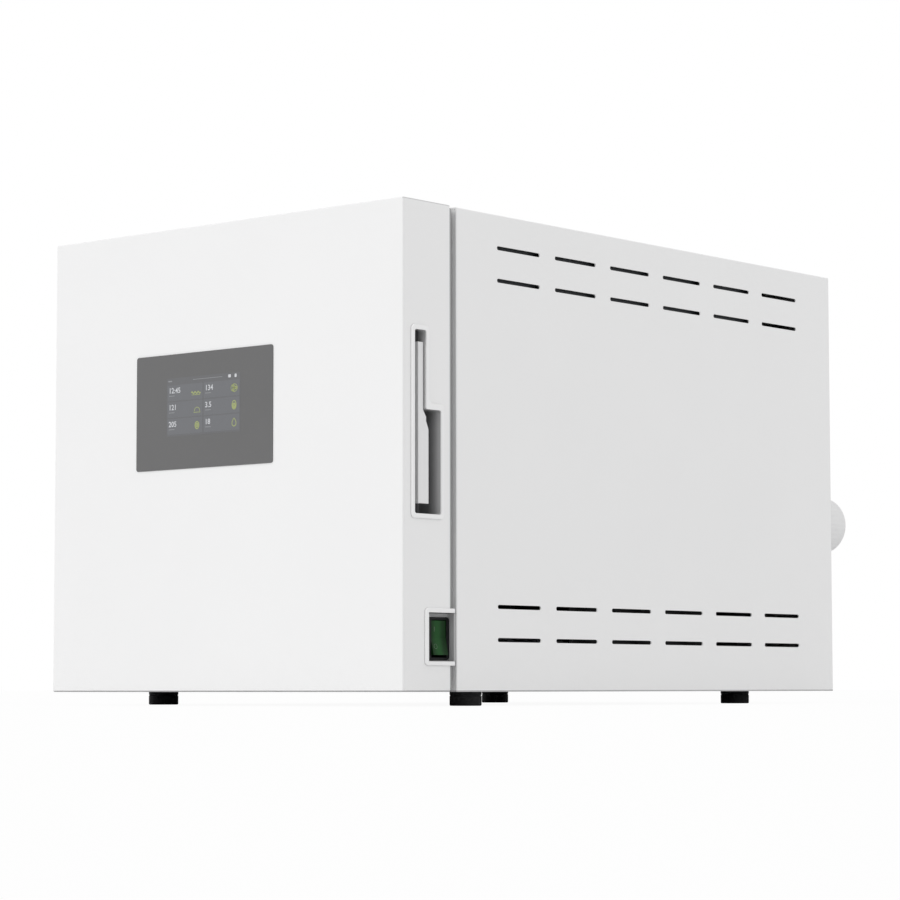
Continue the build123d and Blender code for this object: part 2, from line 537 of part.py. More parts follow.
# Front frame: the sheet panel behind the door, round the chamber's mouth, with rearward flanges
with BuildPart() as front_frame:
    x_frame = (X_LEFT + SKIN, X_RIGHT - SKIN)
    z_frame = (Z_BASE, Z_TOP - SKIN)
    block(x_frame, (Y_FRAME, Y_FRAME + 12), z_frame)
    block((x_frame[0] + FRAME_SHEET, x_frame[1] - FRAME_SHEET), (Y_INNER, Y_FRAME + 13),
          (Z_BASE - 1, z_frame[1] - FRAME_SHEET), Mode.SUBTRACT)
    for side in (0, 1):
        x_out = x_frame[side]
        block(around(x_out, BASE_SHEET + 0.5), (Y_INNER, Y_FRAME + 13), (Z_BASE - 1, Z_BASE + 24.5),
              Mode.SUBTRACT)
    bore("Y", (X_MID, Y_FRAME - 1, Z_CHAMBER), FLANGE_RADIUS + 1, FRAME_SHEET + 2)
    block(around(X_CATCH + 1, TONGUE_WIDTH / 2 + 3), (Y_FRAME - 1, Y_INNER + 1),
          around(Z_CATCH, TONGUE_THICKNESS / 2 + 2), Mode.SUBTRACT)
    for lug in LUG_HEIGHTS:
        block(around(X_HINGE, 8), (Y_FRAME - 1, Y_INNER + 1), around(Z_BASE + lug, LUG_HEIGHT / 2 + 1),
              Mode.SUBTRACT)
PIECES["front_frame"] = front_frame

# Hinge bracket: a steel plate behind the front frame with two lugs that reach to the door's pins
with BuildPart() as hinge_bracket:
    block((X_LEFT + 5, X_LEFT + 26), (Y_INNER, Y_INNER + 5),
          (Z_BASE + LUG_HEIGHTS[0] - 12, Z_BASE + LUG_HEIGHTS[1] + 12))
    for lug in LUG_HEIGHTS:
        z_lug = Z_BASE + lug - LUG_HEIGHT / 2
        block(around(X_HINGE, 7), (Y_HINGE, Y_INNER), (z_lug, z_lug + LUG_HEIGHT))
        rod("Z", (X_HINGE, Y_HINGE, z_lug), 7, LUG_HEIGHT)
        bore("Z", (X_HINGE, Y_HINGE, z_lug - 1), HINGE_PIN_RADIUS + SEAT_FIT, LUG_HEIGHT + 2)
PIECES["hinge_bracket"] = hinge_bracket

# Catch housing: a small bracket behind the front frame that carries the rollers and the lock solenoid
Y_ROLLER = Y_INNER + 7.6
ROLLER_RISE = TONGUE_THICKNESS / 2 + FIT + ROLLER_RADIUS
with BuildPart() as catch_housing:
    x_mid = X_CATCH + 1
    half = ROLLER_LENGTH / 2 + FIT
    for side in (-1, 1):
        x_side = sorted((x_mid + side * half, x_mid + side * (half + 2)))
        x_flange = sorted((x_mid + side * half, x_mid + side * (half + 7)))
        block(x_side, (Y_INNER, Y_TONGUE + 4), around(Z_CATCH, 18))
        block(x_flange, (Y_INNER, Y_INNER + 1.5), around(Z_CATCH, 18))
        for up in (-1, 1):
            x_stub = x_side[1] - 4 if side > 0 else x_side[0]
            rod("X", (x_stub, Y_ROLLER, Z_CATCH + up * ROLLER_RISE), AXLE_RADIUS, 4)
    block(around(x_mid, half + 2), (Y_ROLLER + ROLLER_RADIUS + 1, Y_TONGUE + 4),
          (Z_CATCH - 20, Z_CATCH - 18))
    bore("Z", (X_CATCH, Y_BOLT, Z_CATCH - 21), BOLT_RADIUS + 0.3, 4)
PIECES["catch_housing"] = catch_housing


def catch_roller(up):
    """A steel roller above or below the tongue, on stub axles in the catch housing."""
    with BuildPart() as roller:
        start = (X_CATCH + 1 - ROLLER_LENGTH / 2, Y_ROLLER, Z_CATCH + up * ROLLER_RISE)
        rod("X", start, ROLLER_RADIUS, ROLLER_LENGTH)
        bore("X", start, AXLE_RADIUS + SEAT_FIT, ROLLER_LENGTH)
    return roller


PIECES["catch_roller_lower"] = catch_roller(-1)
PIECES["catch_roller_upper"] = catch_roller(1)

# Lock solenoid under the catch, and the bolt that it pushes up through the tongue's hole
Z_SOLENOID = Z_CATCH - 20
SOLENOID_HEIGHT = 34.0
with BuildPart() as lock_solenoid:
    block(around(X_CATCH + 1, 12), (Y_ROLLER + ROLLER_RADIUS + 1, Y_TONGUE + 4),
          (Z_SOLENOID - SOLENOID_HEIGHT, Z_SOLENOID))
    bore("Z", (X_CATCH, Y_BOLT, Z_SOLENOID - 24), BOLT_RADIUS + SEAT_FIT, 25)
PIECES["lock_solenoid"] = lock_solenoid

with BuildPart() as lock_bolt:
    low = Z_SOLENOID - 20
    rod("Z", (X_CATCH, Y_BOLT, low), BOLT_RADIUS, Z_CATCH - TONGUE_THICKNESS / 2 - 1 - low)
    fillet(lock_bolt.edges().group_by(Axis.Z)[-1], 0.8)
PIECES["lock_bolt"] = lock_bolt

# Switch carrier: a box on the front frame that reaches forward into the door's notch
with BuildPart() as switch_carrier:
    x_box = (X_RIGHT - NOTCH_DEPTH + 2, X_SWITCH)
    y_box = (Y_DOOR + NOTCH_FRONT + 3, Y_FRAME)
    z_box = (Z_BASE + NOTCH_BOTTOM + 0.6, Z_BASE + NOTCH_TOP - 0.6)
    y_cell = (y_box[1] - 3.5 - BEZEL_WIDTH + 1.5, y_box[1] - 3.5 - 1.5)
    block(x_box, y_box, z_box)
    block((x_box[0] + 2, x_box[1] + 1), y_cell, around(Z_SWITCH, BEZEL_HEIGHT / 2 - 1.5), Mode.SUBTRACT)
    block((x_box[1], X_RIGHT - 0.6), (y_box[1] - 3.5, Y_BODY - FIT), z_box)
PIECES["switch_carrier"] = switch_carrier

# Power switch: a black bezel round the rocker, with its body in the carrier
Y_SWITCH = (y_cell[0] + y_cell[1]) / 2
X_ROCKER = X_SWITCH - ROCKER_SETBACK
Y_ROCKER_PIN = Y_SWITCH - ROCKER_WIDTH / 2 - ROCKER_PIN_REACH
ROCKER_PIN = ROCKER_WIDTH + 2 * ROCKER_PIN_REACH
with BuildPart() as power_switch:
    block((X_SWITCH - 30, X_SWITCH), around(Y_SWITCH, BEZEL_WIDTH / 2 - 1.8),
          around(Z_SWITCH, BEZEL_HEIGHT / 2 - 1.8))
    block((X_SWITCH, X_SWITCH + BEZEL_PROUD), around(Y_SWITCH, BEZEL_WIDTH / 2),
          around(Z_SWITCH, BEZEL_HEIGHT / 2))
    fillet(power_switch.edges().filter_by(Axis.X).group_by(Axis.X)[-1], BEZEL_CORNER)
    fillet(power_switch.faces().sort_by(Axis.X)[-1].edges(), 0.8)
    block((X_SWITCH - 16, X_SWITCH + 5), around(Y_SWITCH, ROCKER_WIDTH / 2 + 0.4),
          around(Z_SWITCH, ROCKER_HEIGHT / 2 + 0.6), Mode.SUBTRACT)
    bore("Y", (X_ROCKER, Y_ROCKER_PIN - FIT, Z_SWITCH), ROCKER_PIN_RADIUS + SEAT_FIT, ROCKER_PIN + 2 * FIT)
PIECES["power_switch"] = power_switch

# Power rocker: two flat faces that meet in a shallow V, on a pin, tilted with its upper end pressed in
with BuildPart() as power_rocker:
    half = ROCKER_HEIGHT / 2 - 0.9
    tilt = math.radians(ROCKER_TILT)
    swing = Plane(origin=(X_ROCKER, Y_SWITCH - ROCKER_WIDTH / 2, Z_SWITCH),
                  x_dir=(math.cos(tilt), 0, math.sin(tilt)), z_dir=(0, 1, 0))
    dip = half * math.tan(tilt)
    with BuildSketch(swing):
        with BuildLine():
            Polyline((7 - dip, 0), (7, half), (-2, half - 1), (-9, 4), (-9, -4), (-2, 1 - half), (7, -half),
                     close=True)
        make_face()
    extrude(amount=ROCKER_WIDTH)
    rod("Y", (X_ROCKER, Y_ROCKER_PIN, Z_SWITCH), ROCKER_PIN_RADIUS, ROCKER_PIN)
PIECES["power_rocker"] = power_rocker

# Chamber: the stainless vessel, a flanged tube with a dished rear end
with BuildPart() as chamber:
    with BuildSketch(Plane.YZ.offset(X_MID)):
        with BuildLine():
            y_end = Y_SEAT + FLANGE_THICKNESS + CHAMBER_LENGTH - DISH_DEPTH
            outer = CHAMBER_RADIUS + CHAMBER_WALL
            y_flange = Y_SEAT + FLANGE_THICKNESS
            Polyline((y_end, Z_CHAMBER + CHAMBER_RADIUS), (Y_SEAT, Z_CHAMBER + CHAMBER_RADIUS),
                     (Y_SEAT, Z_CHAMBER + FLANGE_RADIUS), (y_flange, Z_CHAMBER + FLANGE_RADIUS),
                     (y_flange, Z_CHAMBER + outer), (y_end, Z_CHAMBER + outer))
            ThreePointArc((y_end, Z_CHAMBER + outer), (y_end + DISH_DEPTH * 0.74, Z_CHAMBER + outer * 0.55),
                          (y_end + DISH_DEPTH, Z_CHAMBER))
            Line((y_end + DISH_DEPTH, Z_CHAMBER), (y_end + DISH_DEPTH - CHAMBER_WALL, Z_CHAMBER))
            ThreePointArc((y_end + DISH_DEPTH - CHAMBER_WALL, Z_CHAMBER),
                          (y_end + DISH_DEPTH * 0.74 - CHAMBER_WALL, Z_CHAMBER + outer * 0.55 - 1),
                          (y_end, Z_CHAMBER + CHAMBER_RADIUS))
        make_face()
    revolve(axis=Axis((X_MID, 0, Z_CHAMBER), (0, 1, 0)))
    rod("Y", (X_MID, y_end + DISH_DEPTH - 1, Z_CHAMBER), 9, INSULATION + 5)
PIECES["chamber"] = chamber

# Heating band: the silicone heater wrapped round the chamber
with BuildPart() as heating_band:
    start = (X_MID, Y_SEAT + CHAMBER_LENGTH * 0.25, Z_CHAMBER)
    rod("Y", start, CHAMBER_RADIUS + CHAMBER_WALL + BAND_SHEET, CHAMBER_LENGTH * 0.5)
    bore("Y", start, CHAMBER_RADIUS + CHAMBER_WALL + SEAT_FIT, CHAMBER_LENGTH * 0.5)
PIECES["heating_band"] = heating_band

# Insulation: the fibre jacket over the band, closed behind the dished end
with BuildPart() as insulation:
    y_start = Y_SEAT + FLANGE_THICKNESS + FIT
    rod("Y", (X_MID, y_start, Z_CHAMBER), JACKET_RADIUS, Y_JACKET - y_start)
    bore("Y", (X_MID, y_start - 1, Z_CHAMBER), JACKET_RADIUS - INSULATION,
         Y_JACKET - INSULATION + 1 - y_start)
    bore("Y", (X_MID, Y_JACKET - INSULATION - 1, Z_CHAMBER), 9 + FIT, INSULATION + 2)
PIECES["insulation"] = insulation

# Cradles: two steel saddles that stand on the floor and hold the jacketed chamber
with BuildPart() as chamber_cradles:
    for share in (0.2, 0.8):
        y = Y_SEAT + CHAMBER_LENGTH * share
        block(around(X_MID, JACKET_RADIUS * 0.8), around(y, 10), (Z_FLOOR, Z_CHAMBER - JACKET_RADIUS * 0.7))
    bore("Y", (X_MID, Y_SEAT, Z_CHAMBER), JACKET_RADIUS + SEAT_FIT, CHAMBER_LENGTH)
PIECES["chamber_cradles"] = chamber_cradles

# Tray rack: two side sheets with runners, joined by cross wires, on skids along the chamber's wall
Y_TRAY = Y_SEAT + TRAY_SETBACK
with BuildPart() as tray_rack:
    y_rack = (Y_TRAY - 2, Y_TRAY + TRAY_LENGTH + 2)
    skid_radius = CHAMBER_RADIUS - FIT - RACK_WIRE
    skid_x = math.sqrt(skid_radius ** 2 - RACK_HALF_HEIGHT ** 2)
    for side in (-1, 1):
        block(around(X_MID + side * (RACK_HALF_WIDTH - TIN / 2), TIN / 2), y_rack,
              around(Z_CHAMBER, RACK_HALF_HEIGHT))
        for i in range(TRAY_COUNT):
            z_run = Z_CHAMBER + TRAY_FIRST + i * TRAY_PITCH
            block(around(X_MID + side * (RACK_HALF_WIDTH - RACK_LEDGE / 2), RACK_LEDGE / 2), y_rack,
                  (z_run - TIN, z_run))
        rod("Y", (X_MID + side * skid_x, y_rack[0], Z_CHAMBER - RACK_HALF_HEIGHT), RACK_WIRE,
            y_rack[1] - y_rack[0])
    for y in (y_rack[0] + RACK_WIRE, y_rack[1] - RACK_WIRE):
        for z in (-RACK_HALF_HEIGHT + RACK_WIRE - 2, RACK_HALF_HEIGHT - RACK_WIRE):
            rod("X", (X_MID - RACK_HALF_WIDTH + TIN / 2, y, Z_CHAMBER + z), RACK_WIRE,
                2 * RACK_HALF_WIDTH - TIN)
PIECES["tray_rack"] = tray_rack

# Trays: shallow stainless instrument trays with drain holes in their floors
def tray(z):
    """One tray, made with its floor at height z."""
    half = RACK_HALF_WIDTH - TIN - FIT
    with BuildPart() as pan:
        block(around(X_MID, half), (Y_TRAY, Y_TRAY + TRAY_LENGTH), (z, z + TRAY_DEPTH))
        fillet(pan.edges().filter_by(Axis.Z), 6)
        offset(amount=-TIN, openings=pan.faces().sort_by(Axis.Z)[-1])
        with BuildSketch(Plane.XY.offset(z - 1)):
            with Locations((X_MID, Y_TRAY + TRAY_LENGTH / 2)):
                with GridLocations(34, 48, 5, 8):
                    SlotOverall(20, 6, rotation=90)
        extrude(amount=TIN + 2, mode=Mode.SUBTRACT)
    return pan.part


tray_stack = [tray(Z_CHAMBER + TRAY_FIRST + i * TRAY_PITCH) for i in range(TRAY_COUNT)]
with BuildPart() as trays:
    for pan in tray_stack:
        add(pan)
PIECES["trays"] = trays

# Tank shelf: the sheet above the chamber, from the front frame to the rear panel
with BuildPart() as tank_shelf:
    block((X_LEFT + SKIN + FRAME_SHEET, X_RIGHT - SKIN - FRAME_SHEET), (Y_INNER, Y_REAR_INNER),
          (Z_SHELF, Z_SHELF + FRAME_SHEET))
PIECES["tank_shelf"] = tank_shelf


def water_tank(side):
    """A moulded tank on the shelf, hollow inside."""
    z = (Z_SHELF + FRAME_SHEET, Z_SHELF + FRAME_SHEET + TANK_HEIGHT)
    far = CABINET_WIDTH / 2 - SKIN - 6
    x = sorted((X_MID + side * TANK_GAP / 2, X_MID + side * far))
    with BuildPart() as tank:
        block(x, (Y_BODY + 30, Y_BODY + 30 + TANK_LENGTH), z)
        fillet(tank.edges().filter_by(Axis.Z), 8)
        block((x[0] + TANK_WALL, x[1] - TANK_WALL),
              (Y_BODY + 30 + TANK_WALL, Y_BODY + 30 + TANK_LENGTH - TANK_WALL),
              (z[0] + TANK_WALL, z[1] - TANK_WALL), Mode.SUBTRACT)
        if side < 0:
            rod("Z", (X_FILLER, Y_FILLER, z[1] - TANK_WALL), MOUTH_RADIUS + TANK_WALL,
                Z_TOP - SKIN - FIT - z[1] + TANK_WALL)
            bore("Z", (X_FILLER, Y_FILLER, z[1] - TANK_WALL - 1), MOUTH_RADIUS, 40)
    return tank


PIECES["clean_water_tank"] = water_tank(-1)
PIECES["used_water_tank"] = water_tank(1)

# Filler lid: a shallow plate on the cover, with a hinge bead along its rear edge
with BuildPart() as filler_lid:
    block(around(X_FILLER, LID_WIDTH / 2), (Y_FILLER - LID_LENGTH / 2, Y_LID_HINGE - 6),
          (Z_TOP + FIT, Z_TOP + FIT + LID_SHEET))
    fillet(filler_lid.edges().filter_by(Axis.Z), 5)
    fillet(filler_lid.edges().group_by(Axis.Z)[-1], 1.2)
    block(around(X_FILLER, LID_WIDTH / 2 - 15), (Y_LID_HINGE - 8, Y_LID_HINGE - 2),
          (Z_TOP + FIT + 0.8, Z_TOP + FIT + LID_SHEET - 0.4))
    rod("X", (X_FILLER - LID_WIDTH / 2 + 15, Y_LID_HINGE, Z_LID_HINGE), 2.4, LID_WIDTH - 30)
    bore("X", (X_FILLER - LID_WIDTH / 2 + 14, Y_LID_HINGE, Z_LID_HINGE), 1 + SEAT_FIT, LID_WIDTH - 28)
PIECES["filler_lid"] = filler_lid

# Rear panel: a recessed sheet with the fan grille and the holes for the rear fittings
X_FILTER = X_RIGHT - FILTER_INSET
Z_FILTER = Z_BASE + FILTER_HEIGHT
Z_FAN = Z_BASE + FAN_HEIGHT - 20
X_INLET = X_MID + 120
Z_INLET = Z_BASE + 62
X_VALVE = X_MID - 100
X_DRAINS = [X_MID + DRAIN_SPACING * k for k in (-1, 0)]
Z_DRAIN = Z_BASE + DRAIN_HEIGHT
X_BUTTON = X_INLET - 52
with BuildPart() as rear_panel:
    block((X_LEFT + SKIN, X_RIGHT - SKIN), (Y_REAR_INNER, Y_REAR_INNER + FRAME_SHEET),
          (Z_BASE, Z_TOP - SKIN))
    with BuildSketch(Plane.XZ.offset(-Y_REAR_INNER + 1)):
        for k in range(GRILLE_SLOTS):
            rise = (k - (GRILLE_SLOTS - 1) / 2) * GRILLE_PITCH
            chord = 2 * math.sqrt((FAN_SIZE / 2 - 4) ** 2 - rise ** 2)
            with Locations((X_MID, Z_FAN + rise)):
                SlotOverall(chord, 5)
    extrude(amount=-FRAME_SHEET - 2, mode=Mode.SUBTRACT)
    bore("Y", (X_FILTER, Y_REAR_INNER - 1, Z_FILTER), FILTER_RADIUS * 0.6 + FIT, 5)
    block(around(X_INLET, 14 + FIT), (Y_REAR_INNER - 1, Y_REAR), around(Z_INLET, 11 + FIT), Mode.SUBTRACT)
    bore("Y", (X_BUTTON, Y_REAR_INNER - 1, Z_INLET), 6 + FIT, 5)
    bore("Y", (X_VALVE, Y_REAR_INNER - 1, Z_FAN), 7 + FIT, 5)
    for x in X_DRAINS:
        bore("Y", (x, Y_REAR_INNER - 1, Z_DRAIN), 7 + FIT, 5)
PIECES["rear_panel"] = rear_panel

# Filter socket: the moulded fitting in the rear panel that the air filter seats in
Y_PANEL_BACK = Y_REAR_INNER + FRAME_SHEET
with BuildPart() as filter_socket:
    rod("Y", (X_FILTER, Y_REAR_INNER - 30, Z_FILTER), FILTER_RADIUS * 0.6, 30 + FRAME_SHEET)
    rod("Y", (X_FILTER, Y_REAR_INNER - 3, Z_FILTER), FILTER_RADIUS * 0.8, 3)
    bore("Y", (X_FILTER, Y_REAR_INNER - 22, Z_FILTER), FILTER_RADIUS * 0.4, 30)
PIECES["filter_socket"] = filter_socket

# Air filter: the round white cartridge that pushes into the socket and stands out behind
with BuildPart() as air_filter:
    rod("Y", (X_FILTER, Y_PANEL_BACK + FIT, Z_FILTER), FILTER_RADIUS,
        Y_REAR + FILTER_PROUD - Y_PANEL_BACK - FIT)
    fillet(air_filter.edges().group_by(Axis.Y)[-1], 3)
    rod("Y", (X_FILTER, Y_REAR_INNER - 18, Z_FILTER), FILTER_RADIUS * 0.4 - SEAT_FIT, 20 + FRAME_SHEET)
PIECES["air_filter"] = air_filter

# Fan: a square frame on the rear panel with a bladed rotor on its hub
with BuildPart() as fan_frame:
    y_fan = (Y_REAR_INNER - FAN_DEPTH, Y_REAR_INNER)
    block(around(X_MID, FAN_SIZE / 2), y_fan, around(Z_FAN, FAN_SIZE / 2))
    fillet(fan_frame.edges().filter_by(Axis.Y), 4)
    bore("Y", (X_MID, y_fan[0] - 1, Z_FAN), FAN_SIZE / 2 - 3, FAN_DEPTH + 2)
    rod("Y", (X_MID, y_fan[0], Z_FAN), 19, 3)
    for angle in (45, 135):
        with Locations(Location((X_MID, y_fan[0] + 1.5, Z_FAN), (0, angle, 0))):
            Box(FAN_SIZE - 2, 3, 5)
    rod("Y", (X_MID, y_fan[0] + 2, Z_FAN), 3, FAN_DEPTH - 8)
PIECES["fan_frame"] = fan_frame

with BuildPart() as fan_rotor:
    rod("Y", (X_MID, y_fan[0] + 3 + FIT, Z_FAN), 19, FAN_DEPTH - 6)
    bore("Y", (X_MID, y_fan[0] + 3, Z_FAN), 3 + SEAT_FIT, FAN_DEPTH)
    for k in range(FAN_BLADES):
        with Locations(Location((X_MID, y_fan[0] + 12, Z_FAN), (0, 360 / FAN_BLADES * k, 0))):
            with Locations(Location((18 + (FAN_SIZE / 2 - 23) / 2, 0, 0), (35, 0, 0))):
                Box(FAN_SIZE / 2 - 23, 1.5, 18)
PIECES["fan_rotor"] = fan_rotor

# Condenser: a finned block in front of the fan, hung on four studs of the fan frame
Y_CONDENSER = Y_REAR_INNER - FAN_DEPTH - 34
with BuildPart() as condenser:
    block(around(X_MID, FAN_SIZE / 2), (Y_CONDENSER, Y_CONDENSER + 30), around(Z_FAN, FAN_SIZE / 2))
    with BuildSketch(Plane.XZ.offset(-Y_CONDENSER + 1)):
        with Locations((X_MID, Z_FAN)):
            with GridLocations(8, 1, 14, 1):
                Rectangle(5, FAN_SIZE - 12)
    extrude(amount=-28, mode=Mode.SUBTRACT)
    for sx, sz in CORNERS:
        rod("Y", (X_MID + sx * (FAN_SIZE / 2 - 5), Y_CONDENSER + 29, Z_FAN + sz * (FAN_SIZE / 2 - 5)), 3, 5)
PIECES["condenser"] = condenser

# Steam generator, pumps and power supply: closed units that stand on the floor
STEAM_INSET = 62.5
STEAM_RADIUS = 36.0
STEAM_HEIGHT = 150.0
X_STEAM = X_LEFT + STEAM_INSET
Y_SERVICE = Y_JACKET + 48
with BuildPart() as steam_generator:
    rod("Z", (X_STEAM, Y_SERVICE, Z_FLOOR), STEAM_RADIUS, STEAM_HEIGHT)
    fillet(steam_generator.edges().group_by(Axis.Z)[-1], 12)
    rod("Z", (X_STEAM, Y_SERVICE, Z_FLOOR), STEAM_RADIUS + 8, 4)
    rod("Z", (X_STEAM, Y_SERVICE, Z_FLOOR + STEAM_HEIGHT - 2), 7, 14)
PIECES["steam_generator"] = steam_generator

with BuildPart() as vacuum_pump:
    block(around(X_MID - 40, 46), around(Y_SERVICE - 10, 30), (Z_FLOOR, Z_FLOOR + 5))
    rod("X", (X_MID - 84, Y_SERVICE - 10, Z_FLOOR + 38), 29, 58)
    block((X_MID - 26, X_MID + 4), around(Y_SERVICE - 10, 26), (Z_FLOOR + 4, Z_FLOOR + 72))
    block((X_MID - 70, X_MID - 40), around(Y_SERVICE - 10, 15), (Z_FLOOR + 4, Z_FLOOR + 30))
PIECES["vacuum_pump"] = vacuum_pump

with BuildPart() as water_pump:
    block(around(X_MID + 52, 24), around(Y_SERVICE - 10, 18), (Z_FLOOR, Z_FLOOR + 4))
    block(around(X_MID + 52, 12), around(Y_SERVICE - 10, 10), (Z_FLOOR, Z_FLOOR + 14))
    rod("X", (X_MID + 30, Y_SERVICE - 10, Z_FLOOR + 22), 18, 44)
PIECES["water_pump"] = water_pump

SUPPLY_LENGTH = 190.0
SUPPLY_HEIGHT = 46.0
VALVES_LENGTH = 130.0
Y_VALVES = Y_SERVICE - STEAM_RADIUS - 8.4 - VALVES_LENGTH
with BuildPart() as power_supply:
    y_supply = (Y_VALVES - 20 - SUPPLY_LENGTH, Y_VALVES - 20)
    block((X_LEFT + 12, X_LEFT + 80), y_supply, (Z_FLOOR, Z_FLOOR + SUPPLY_HEIGHT))
    with BuildSketch(Plane.XY.offset(Z_FLOOR + SUPPLY_HEIGHT - 1.5)):
        with Locations((X_LEFT + 46, sum(y_supply) / 2)):
            with GridLocations(1, 12, 1, 12):
                SlotOverall(44, 4)
    extrude(amount=3, mode=Mode.SUBTRACT)
PIECES["power_supply"] = power_supply

# Valve block: a brass manifold on the floor with four solenoid valves on it
with BuildPart() as valve_block:
    block((X_LEFT + 14, X_LEFT + 44), (Y_VALVES, Y_VALVES + VALVES_LENGTH), (Z_FLOOR, Z_FLOOR + 28))
    for k in range(4):
        rod("Z", (X_LEFT + 29, Y_VALVES + 17 + k * 32, Z_FLOOR + 28), 12, 34)
PIECES["valve_block"] = valve_block

# Control board on its carrier plate, inside the right side
CARRIER_FRONT = 180.0
CARRIER_LENGTH = 220.0
CARRIER_HEIGHT = 300.0
with BuildPart() as board_carrier:
    x_plate = X_RIGHT - SKIN - 16
    y_carrier = (Y_BODY + CARRIER_FRONT, Y_BODY + CARRIER_FRONT + CARRIER_LENGTH)
    block((x_plate, x_plate + FRAME_SHEET), y_carrier, (Z_FLOOR, Z_FLOOR + CARRIER_HEIGHT))
    block((x_plate - 14, x_plate + FRAME_SHEET), y_carrier, (Z_FLOOR, Z_FLOOR + FRAME_SHEET))
    for y in (y_carrier[0] + 20, y_carrier[1] - 20):
        for z in (Z_FLOOR + CARRIER_HEIGHT - 180, Z_FLOOR + CARRIER_HEIGHT - 20):
            rod("X", (x_plate - 6, y, z), 3, 6)
PIECES["board_carrier"] = board_carrier

with BuildPart() as control_board:
    z_board = Z_FLOOR + CARRIER_HEIGHT - 12
    x_board = x_plate - 6 - BOARD_SHEET
    block((x_board, x_plate - 6), (y_carrier[0] + 12, y_carrier[1] - 12), (z_board - 176, z_board))
    for k in range(4):
        block((x_plate - 20, x_board), around(y_carrier[0] + 35 + 45 * k, 9), (z_board - 38, z_board - 12))
    block((x_plate - 12, x_board), around(sum(y_carrier) / 2, 20), (z_board - 118, z_board - 78))
PIECES["control_board"] = control_board

# Mains inlet: a recessed three-pin socket in the rear panel
with BuildPart() as mains_inlet:
    block(around(X_INLET, 14), (Y_REAR_INNER - 22, Y_PANEL_BACK), around(Z_INLET, 11))
    block(around(X_INLET, 25), (Y_PANEL_BACK, Y_PANEL_BACK + 2.5), around(Z_INLET, 14))
    block(around(X_INLET, 11.8), (Y_REAR_INNER - 14, Y_REAR + 5), around(Z_INLET, 8.4), Mode.SUBTRACT)
    for dx, dz in ((-7, -1), (7, -1), (0, 3)):
        block(around(X_INLET + dx, 1), (Y_REAR_INNER - 15, Y_PANEL_BACK - 4), around(Z_INLET + dz, 2))
PIECES["mains_inlet"] = mains_inlet

# Reset button of the overheat cut-out: a bush in the rear panel and a small red button
with BuildPart() as cutout_bush:
    rod("Y", (X_BUTTON, Y_REAR_INNER - 16, Z_INLET), 6, 16 + FRAME_SHEET)
    rod("Y", (X_BUTTON, Y_PANEL_BACK, Z_INLET), 9, 2)
    bore("Y", (X_BUTTON, Y_REAR_INNER - 10, Z_INLET), 3.5 + SEAT_FIT, 30)
PIECES["cutout_bush"] = cutout_bush

with BuildPart() as reset_button:
    rod("Y", (X_BUTTON, Y_REAR_INNER - 5, Z_INLET), 3.5, 5 + FRAME_SHEET + 6)
    fillet(reset_button.edges().group_by(Axis.Y)[-1], 1)
PIECES["reset_button"] = reset_button

# Safety valve: a brass body through the rear panel with a knurled cap
with BuildPart() as safety_valve:
    rod("Y", (X_VALVE, Y_REAR_INNER - 24, Z_FAN), 7, 24 + FRAME_SHEET)
    with BuildSketch(Plane.XZ.offset(-Y_PANEL_BACK)):
        with Locations((X_VALVE, Z_FAN)):
            RegularPolygon(10, 6)
    extrude(amount=-8)
    rod("Y", (X_VALVE, Y_PANEL_BACK + 8, Z_FAN), 8, 18)
PIECES["safety_valve"] = safety_valve

# Drain valves: brass bodies through the rear panel, each with a hose barb and a stem for its knob
with BuildPart() as drain_valves:
    for x in X_DRAINS:
        rod("Y", (x, Y_REAR_INNER - 20, Z_DRAIN), 7, 20 + FRAME_SHEET)
        block(around(x, 9), (Y_PANEL_BACK, Y_PANEL_BACK + DRAIN_BODY), around(Z_DRAIN, 9))
        rod("Y", (x, Y_PANEL_BACK + DRAIN_BODY, Z_DRAIN), BARB_RADIUS, BARB_LENGTH)
        rod("Z", (x, Y_PANEL_BACK + DRAIN_STEM, Z_DRAIN + 9), STEM_RADIUS, 8)
PIECES["drain_valves"] = drain_valves


def drain_knob(x):
    """A bar knob on the drain valve's stem."""
    with BuildPart() as knob:
        z = Z_DRAIN + 9 + FIT
        rod("Z", (x, Y_PANEL_BACK + DRAIN_STEM, z), 7, 10)
        block(around(x, KNOB_HALF_LENGTH), around(Y_PANEL_BACK + DRAIN_STEM, 3), (z + 3, z + 10))
        bore("Z", (x, Y_PANEL_BACK + DRAIN_STEM, z - 1), STEM_RADIUS + SEAT_FIT, 9)
    return knob


for name, x in zip(("clean", "used"), X_DRAINS):
    PIECES[f"drain_knob_{name}"] = drain_knob(x)

# Steam lines: a brass manifold on the chamber's rear stub and the three pipes that leave it
def pipe(points, bend):
    """A round pipe along straight runs with rounded corners."""
    with BuildPart() as run:
        with BuildLine() as route:
            FilletPolyline(*points, radius=bend)
        with BuildSketch(Plane(origin=route.wire() @ 0, z_dir=route.wire() % 0)):
            Circle(PIPE_RADIUS)
        sweep()
    return run.part


